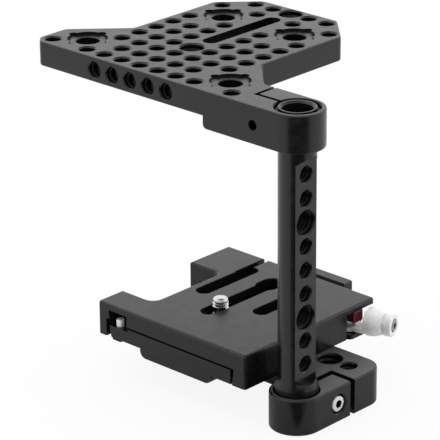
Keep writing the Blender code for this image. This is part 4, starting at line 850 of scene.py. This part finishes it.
cut(screw, box((MID_U - COIN_HEAD_R - PAST, SCREW_V - COIN_SLOT_HALF, HEAD_LOW - PAST),
               (MID_U + COIN_HEAD_R + PAST, SCREW_V + COIN_SLOT_HALF, HEAD_LOW + COIN_SLOT_DEEP)))
camera_metal = steel("camera_screw_steel", CAMERA_STEEL, 0.2, screw_at, UP)
fit("camera_screw_turned", screw, "camera_screw", "bright_steel", [camera_metal], "camera_screw")
thread = bmesh.new()
outside_thread(thread, (MID_U, SCREW_V, THREAD_LOW), UP, THREAD_LONG, THREAD_CORE, SCREW_R, SMALL_PITCH, 40)
fit("camera_screw_thread", thread, "camera_screw", "bright_steel", [camera_metal])
refinish("camera_screw_washer", steel("washer_steel", DULL, 0.3, screw_at, UP))

# Post
# A turned aluminium post, bored at both ends for an extension, with a flat milled along it and nine
# tapped holes through the flat. It is dyed black like the rest.
POST_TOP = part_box("post")[1].z / MM
POST_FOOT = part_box("post")[0].z / MM
POST_END_R, POST_R, SOCKET_BORE_R, SOCKET_LONG = 8.4, 7.25, 5.8, 14.0
FLARE_LOW, FLARE_HIGH, COLLAR_LOW, COLLAR_HIGH = 17.0, 19.5, 113.5, 115.0
FLAT_OUT, FLAT_LOW, FLAT_HIGH, FLAT_MILL_R = 4.3, 19.0, 110.0, 8.0
PITCH, POST_HOLE_TOP, POST_HOLES, POST_LARGE = 9.525, 102.7, 9, (2, 6)
END_CHAMFER, END_LAND, RIM_BREAK, SIDE_MOUTH = 0.8, 0.3, 0.15, 0.45
STEP_LOW, STEP_HIGH = POST_TOP - 1.3, POST_TOP - 1.2
inner, outer = SOCKET_BORE_R + END_CHAMFER, POST_END_R - END_CHAMFER - END_LAND
post = bmesh.new()
turned(post, [
    (SOCKET_BORE_R, POST_FOOT + SOCKET_LONG), (SOCKET_BORE_R, POST_FOOT + END_CHAMFER),
    (inner, POST_FOOT), (outer, POST_FOOT), (POST_END_R, POST_FOOT + END_CHAMFER),
    (POST_END_R, FLARE_LOW), (POST_R, FLARE_HIGH), (POST_R, COLLAR_LOW), (POST_END_R, COLLAR_HIGH),
    (POST_END_R, STEP_LOW), (outer, STEP_HIGH), (outer, POST_TOP - RIM_BREAK),
    (outer - RIM_BREAK, POST_TOP), (inner, POST_TOP), (SOCKET_BORE_R, POST_TOP - END_CHAMFER),
    (SOCKET_BORE_R, POST_TOP - SOCKET_LONG)
], (POST_U, POST_V, 0.0), UP, 96)
mill = slot(0.0, FLAT_LOW, FLAT_HIGH, FLAT_MILL_R, 0.0, CLAMP_R)
move(mill, Matrix.Translation((POST_U + FLAT_OUT, POST_V, 0.0)) @ LAID_ACROSS)
cut(post, mill)
post_holes = [(POST_HOLE_TOP - n * PITCH, n in POST_LARGE) for n in range(POST_HOLES)]
tool, threads = bmesh.new(), bmesh.new()
for z, large in post_holes:
    radius, pitch = (LARGE_R, LARGE_PITCH) if large else (SMALL_R, SMALL_PITCH)
    start = (POST_U + FLAT_OUT, POST_V, z)
    drill(tool, start, -RIGHT, FLAT_OUT + POST_R, radius, SIDE_MOUTH, segments=36)
    tapped_thread(threads, start, -RIGHT, FLAT_OUT + POST_R * 0.75, radius, pitch)
cut(post, tool)
# Painted shade on the tapped holes' walls and threads, on the foot below the flare and on the step round
# the top end.
for z, large in post_holes:
    shade_hole_wall(post, (POST_U, POST_V, z), RIGHT, LARGE_R if large else SMALL_R)
for face in post.faces:
    middle = face.calc_center_median()
    out = (middle.xy - Vector((POST_U, POST_V))).length
    if middle.z < FLARE_LOW or (STEP_LOW < middle.z < POST_TOP - RIM_BREAK and out > inner):
        face.material_index = PAINTED_SHADE
fit("drilled_post", post, "post", "black_anodised", [BLACK, PAINTED_HIGHLIGHT_BLACK, PAINTED_SHADE_BLACK], "post")
fit("post_threads", threads, "post", "black_anodised", [PAINTED_SHADE_BLACK])

# Top plate
# A milled plate drilled and tapped all over at three eighths of an inch, with one slot and four
# counterbored bolt holes. Its arm is deeper and ends in the clamp that grips the post.
PLATE_HIGH, PLATE_THICK, ARM_DEEP, ARM_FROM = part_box("top_plate")[1].z / MM, 10.0, 15.0, 85.4
SHOULDER_V, BACK_CHAMFER, NOSE, CORNER_ROUND, HEEL_ROUND = 31.0, 14.5, 4.0, 1.2, 2.0
CLAMP_CORNERS = (1, 2)
SMALL_HOLES = {0: (0, 2, 3, 4, 5, 6, 7, 8, 10), 1: (3, 4, 5, 6, 7), 2: (2, 3, 4, 5, 6, 7, 8),
               3: (2, 3, 4, 6, 7, 8), 4: (2, 3, 4, 6, 7, 8), 5: (2, 3, 4, 6, 7, 8),
               6: (2, 4, 6, 8), 8: (2, 4, 6, 8), 9: (3, 4, 6, 7)}
LARGE_HOLES, BOLT_HOLES = ((5, 3), (5, 9)), ((1, 1), (9, 1), (3, 7), (7, 7))
FRONT_HOLES, FRONT_THREAD = (3, 4, 5, 6, 7), 4.6
BOLT_R, BOLT_BREAK, COUNTERBORE_R, COUNTERBORE_DEEP, LOBE_R, LOBE_OUT = 4.6, 0.3, 8.0, 1.1, 1.75, 7.9
SLOT_U, SLOT_FROM, SLOT_TO = 5 * PITCH, 36.0, 78.0
UPPER_SLIT, BORE_ZONE = 1.6, BORE_R + 0.5
UPPER_SCREW_AT = Vector((POST_U - CLAMP_SCREW_OFF, POST_V + CLAMP_R - HEAD_SINK, PLATE_HIGH - ARM_DEEP / 2))
left, right, back_v, arm_back = 2 * PITCH - MARGIN, 8 * PITCH + MARGIN, 9 * PITCH + MARGIN, POST_V + CLAMP_R
plate_low, arm_low, over = PLATE_HIGH - PLATE_THICK, PLATE_HIGH - ARM_DEEP, PLATE_HIGH + PAST
front_z, floor_z = PLATE_HIGH - PLATE_THICK / 2, PLATE_HIGH - COUNTERBORE_DEEP
corners = [
    (NOSE - MARGIN, -MARGIN), (BRACKET_RIGHT, -MARGIN), (BRACKET_RIGHT, arm_back),
    (right + SHOULDER_V - arm_back, arm_back), (right, SHOULDER_V), (right, back_v - BACK_CHAMFER),
    (right - BACK_CHAMFER, back_v), (left + BACK_CHAMFER, back_v), (left, back_v - BACK_CHAMFER),
    (left, SHOULDER_V), (-MARGIN, SHOULDER_V - left - MARGIN), (-MARGIN, NOSE - MARGIN)
]
top = slab(corners, arm_low, PLATE_HIGH)
for n, corner in enumerate(corners):
    radius, segments = (CLAMP_R, 20) if n in CLAMP_CORNERS else (CORNER_ROUND, 6)
    round_corner(top, corner, radius, segments)
cut(top, box((-MARGIN - PAST, -MARGIN - PAST, arm_low - PAST), (ARM_FROM, back_v + PAST, plate_low)))
heel = [e for e in top.edges if all(abs(v.co.x - ARM_FROM) < SAME and abs(v.co.z - arm_low) < SAME
                                    for v in e.verts)]
soften(top, heel, HEEL_ROUND, 6)
break_edges(top, sharp_edges(top), EDGE_BREAK)
small_holes = [(column * PITCH, row * PITCH) for row, columns in SMALL_HOLES.items() for column in columns]
large_holes = [(column * PITCH, row * PITCH) for column, row in LARGE_HOLES]
bolt_holes = [(column * PITCH, row * PITCH) for column, row in BOLT_HOLES]
front_holes = [column * PITCH for column in FRONT_HOLES]
tool, threads = clamp_bore(arm_low, PLATE_HIGH), bmesh.new()
for u, v in small_holes:
    low = arm_low if u > ARM_FROM else plate_low
    drill(tool, (u, v, low), UP, PLATE_HIGH - low, SMALL_R, segments=28)
    tapped_thread(threads, (u, v, low), UP, PLATE_HIGH - low, SMALL_R, SMALL_PITCH)
for u, v in large_holes:
    drill(tool, (u, v, plate_low), UP, PLATE_THICK, LARGE_R, segments=44)
    tapped_thread(threads, (u, v, plate_low), UP, PLATE_THICK, LARGE_R, LARGE_PITCH)
lobes = bmesh.new()
for u, v in bolt_holes:
    at = Vector((u, v, 0.0))
    turned(tool, [
        (BOLT_R, arm_low - PAST), (BOLT_R, floor_z - BOLT_BREAK), (BOLT_R + BOLT_BREAK, floor_z),
        (COUNTERBORE_R, floor_z), (COUNTERBORE_R, over)
    ], at, UP, 72)
    for out in (RIGHT, REAR, -RIGHT, -REAR):
        turned(lobes, [(LOBE_R, floor_z), (LOBE_R, over)], at + out * LOBE_OUT, UP, 28)
cut(top, tool)
cut(top, lobes)
cut(top, slot(SLOT_U, SLOT_FROM, SLOT_TO, SLOT_HALF, plate_low - PAST, over))
cut(top, clamp_slit(-RIGHT, REAR, UPPER_SLIT, arm_low, PLATE_HIGH))
tool = bmesh.new()
screw_seat(tool, UPPER_SCREW_AT, REAR, 2 * CLAMP_R, CLAMP_R - HEAD_SINK)
for u in front_holes:
    drill(tool, (u, -MARGIN, front_z), REAR, MARGIN, SMALL_R, SIDE_MOUTH, through=False)
    tapped_thread(threads, (u, -MARGIN, front_z), REAR, FRONT_THREAD, SMALL_R, SMALL_PITCH)
cut(top, tool)
# Painted shade on the hole walls, their threads, the clamp's bore and the slot.
for u, v in small_holes:
    shade_hole_wall(top, (u, v, 0.0), UP, SMALL_R)
for u, v in large_holes + bolt_holes:
    shade_hole_wall(top, (u, v, 0.0), UP, LARGE_R)
for u in front_holes:
    shade_hole_wall(top, (u, 0.0, front_z), REAR, SMALL_R)
for face in top.faces:
    middle = face.calc_center_median()
    in_bore = (middle.xy - Vector((POST_U, POST_V))).length < BORE_ZONE
    in_slot = (abs(middle.x - SLOT_U) < SLOT_HALF + 2 * SAME
               and SLOT_FROM - 2 * SAME < middle.y < SLOT_TO + 2 * SAME)
    if abs(face.normal.z) < 0.9 and (in_bore or in_slot):
        face.material_index = PAINTED_SHADE
fit("drilled_top_plate", top, "top_plate", "black_anodised", [BLACK, PAINTED_HIGHLIGHT_BLACK, PAINTED_SHADE_BLACK], "top_plate")
fit("top_plate_threads", threads, "top_plate", "black_anodised", [PAINTED_SHADE_BLACK])
socket_screw("upper_clamp_cap_screw", UPPER_SCREW_AT, REAR, 15.0, BLACK_OXIDE, "upper_clamp_screw",
             "black_steel", "upper_clamp_screw")

# Studio
# A pale floor in a light tent that is brighter behind the cage than round the camera, with a broad
# lamp overhead and a weak one at the side. A black card in front is seen only in reflections.
FLOOR_HALF, CAMERA_WHITE, MIRROR_WHITE = 6.0, 0.9, 0.3
CARD_LEFT, CARD_RIGHT, CARD_FRONT, CARD_BACK, CARD_Z = 0.0715, 0.65, -0.65, -0.0485, 0.0003
LAMPS = (("overhead_softbox", (-0.5, -0.1, 1.4), 1.2, 5.0), ("side_softbox", (0.83, 0.88, 0.52), 0.7, 0.9))
LAMP_AIM = Vector((0.0, 0.0, 0.05))


def sum_of(tree, operation, first, second):
    """The outcome of a sum on two values of a node tree."""
    return node(tree, "Math", {0: first, 1: second}, operation=operation).outputs["Value"]


pale, tree, shader, where = new_finish("pale_floor")
paper = node(tree, "TexNoise", {"Vector": where, "Scale": 30.0, "Detail": 2.0})
tint(tree, paper, grey(0.80), grey(0.83), span=(0.0, 1.0))
shader["Roughness"].default_value = 0.9
white = node(tree, "Emission", {"Color": (*grey(1.0), 1.0), "Strength": 1.0})
path = node(tree, "LightPath").outputs
mirrored = sum_of(tree, "MAXIMUM", path["Is Glossy Ray"], path["Is Transmission Ray"])
mirrored = sum_of(tree, "MULTIPLY", mirrored, MIRROR_WHITE)
seen = sum_of(tree, "MULTIPLY", path["Is Camera Ray"], CAMERA_WHITE)
seen = sum_of(tree, "MAXIMUM", seen, mirrored)
paper_white = node(tree, "MixShader", {0: seen, 1: tree.nodes["Principled BSDF"].outputs["BSDF"],
                                       2: white.outputs["Emission"]})
tree.links.new(paper_white.outputs["Shader"], tree.nodes["Material Output"].inputs["Surface"])
floor = bmesh.new()
bmesh.ops.create_grid(floor, x_segments=1, y_segments=1, size=FLOOR_HALF)
floor_object = as_object("floor", floor)
floor.free()
floor_object.data.materials.append(pale)

card_black = bpy.data.materials.new("card_black")
card_black.use_nodes = True
card_shader = card_black.node_tree.nodes["Principled BSDF"].inputs
card_shader["Base Color"].default_value = (*grey(0.005), 1.0)
card_shader["Roughness"].default_value = 1.0
card = bmesh.new()
card.faces.new([card.verts.new((x, y, CARD_Z)) for x, y in
                ((CARD_LEFT, CARD_FRONT), (CARD_RIGHT, CARD_FRONT), (CARD_RIGHT, CARD_BACK),
                 (CARD_LEFT, CARD_BACK))])
card_object = as_object("reflection_card", card)
card.free()
card_object.data.materials.append(card_black)
card_object.visible_camera = card_object.visible_diffuse = card_object.visible_shadow = False
card_object.visible_transmission = False

world = bpy.data.worlds.new("light_tent")
world.use_nodes = True
tree = world.node_tree
towards = node(tree, "TexCoord").outputs["Generated"]
to_camera = Vector((back.x, back.y, 0.0)).normalized()
facing = node(tree, "VectorMath", {0: towards, 1: to_camera}, operation="DOT_PRODUCT")
strength = node(tree, "MapRange", {"Value": facing.outputs["Value"], "From Min": -0.4, "From Max": 0.8,
                                   "To Min": 1.3, "To Max": 0.7})
tent = tree.nodes["Background"].inputs
tent["Color"].default_value = (*grey(1.0), 1.0)
tree.links.new(strength.outputs["Result"], tent["Strength"])
scene.world = world
for name, place, width, energy in LAMPS:
    lamp = bpy.data.lights.new(name, "AREA")
    lamp.shape, lamp.size, lamp.energy = "DISK", width, energy
    lamp_object = bpy.data.objects.new(name, lamp)
    lamp_object.location = place
    lamp_object.rotation_euler = (LAMP_AIM - lamp_object.location).to_track_quat("-Z", "Y").to_euler()
    scene.collection.objects.link(lamp_object)
scene.view_settings.view_transform = "Standard"
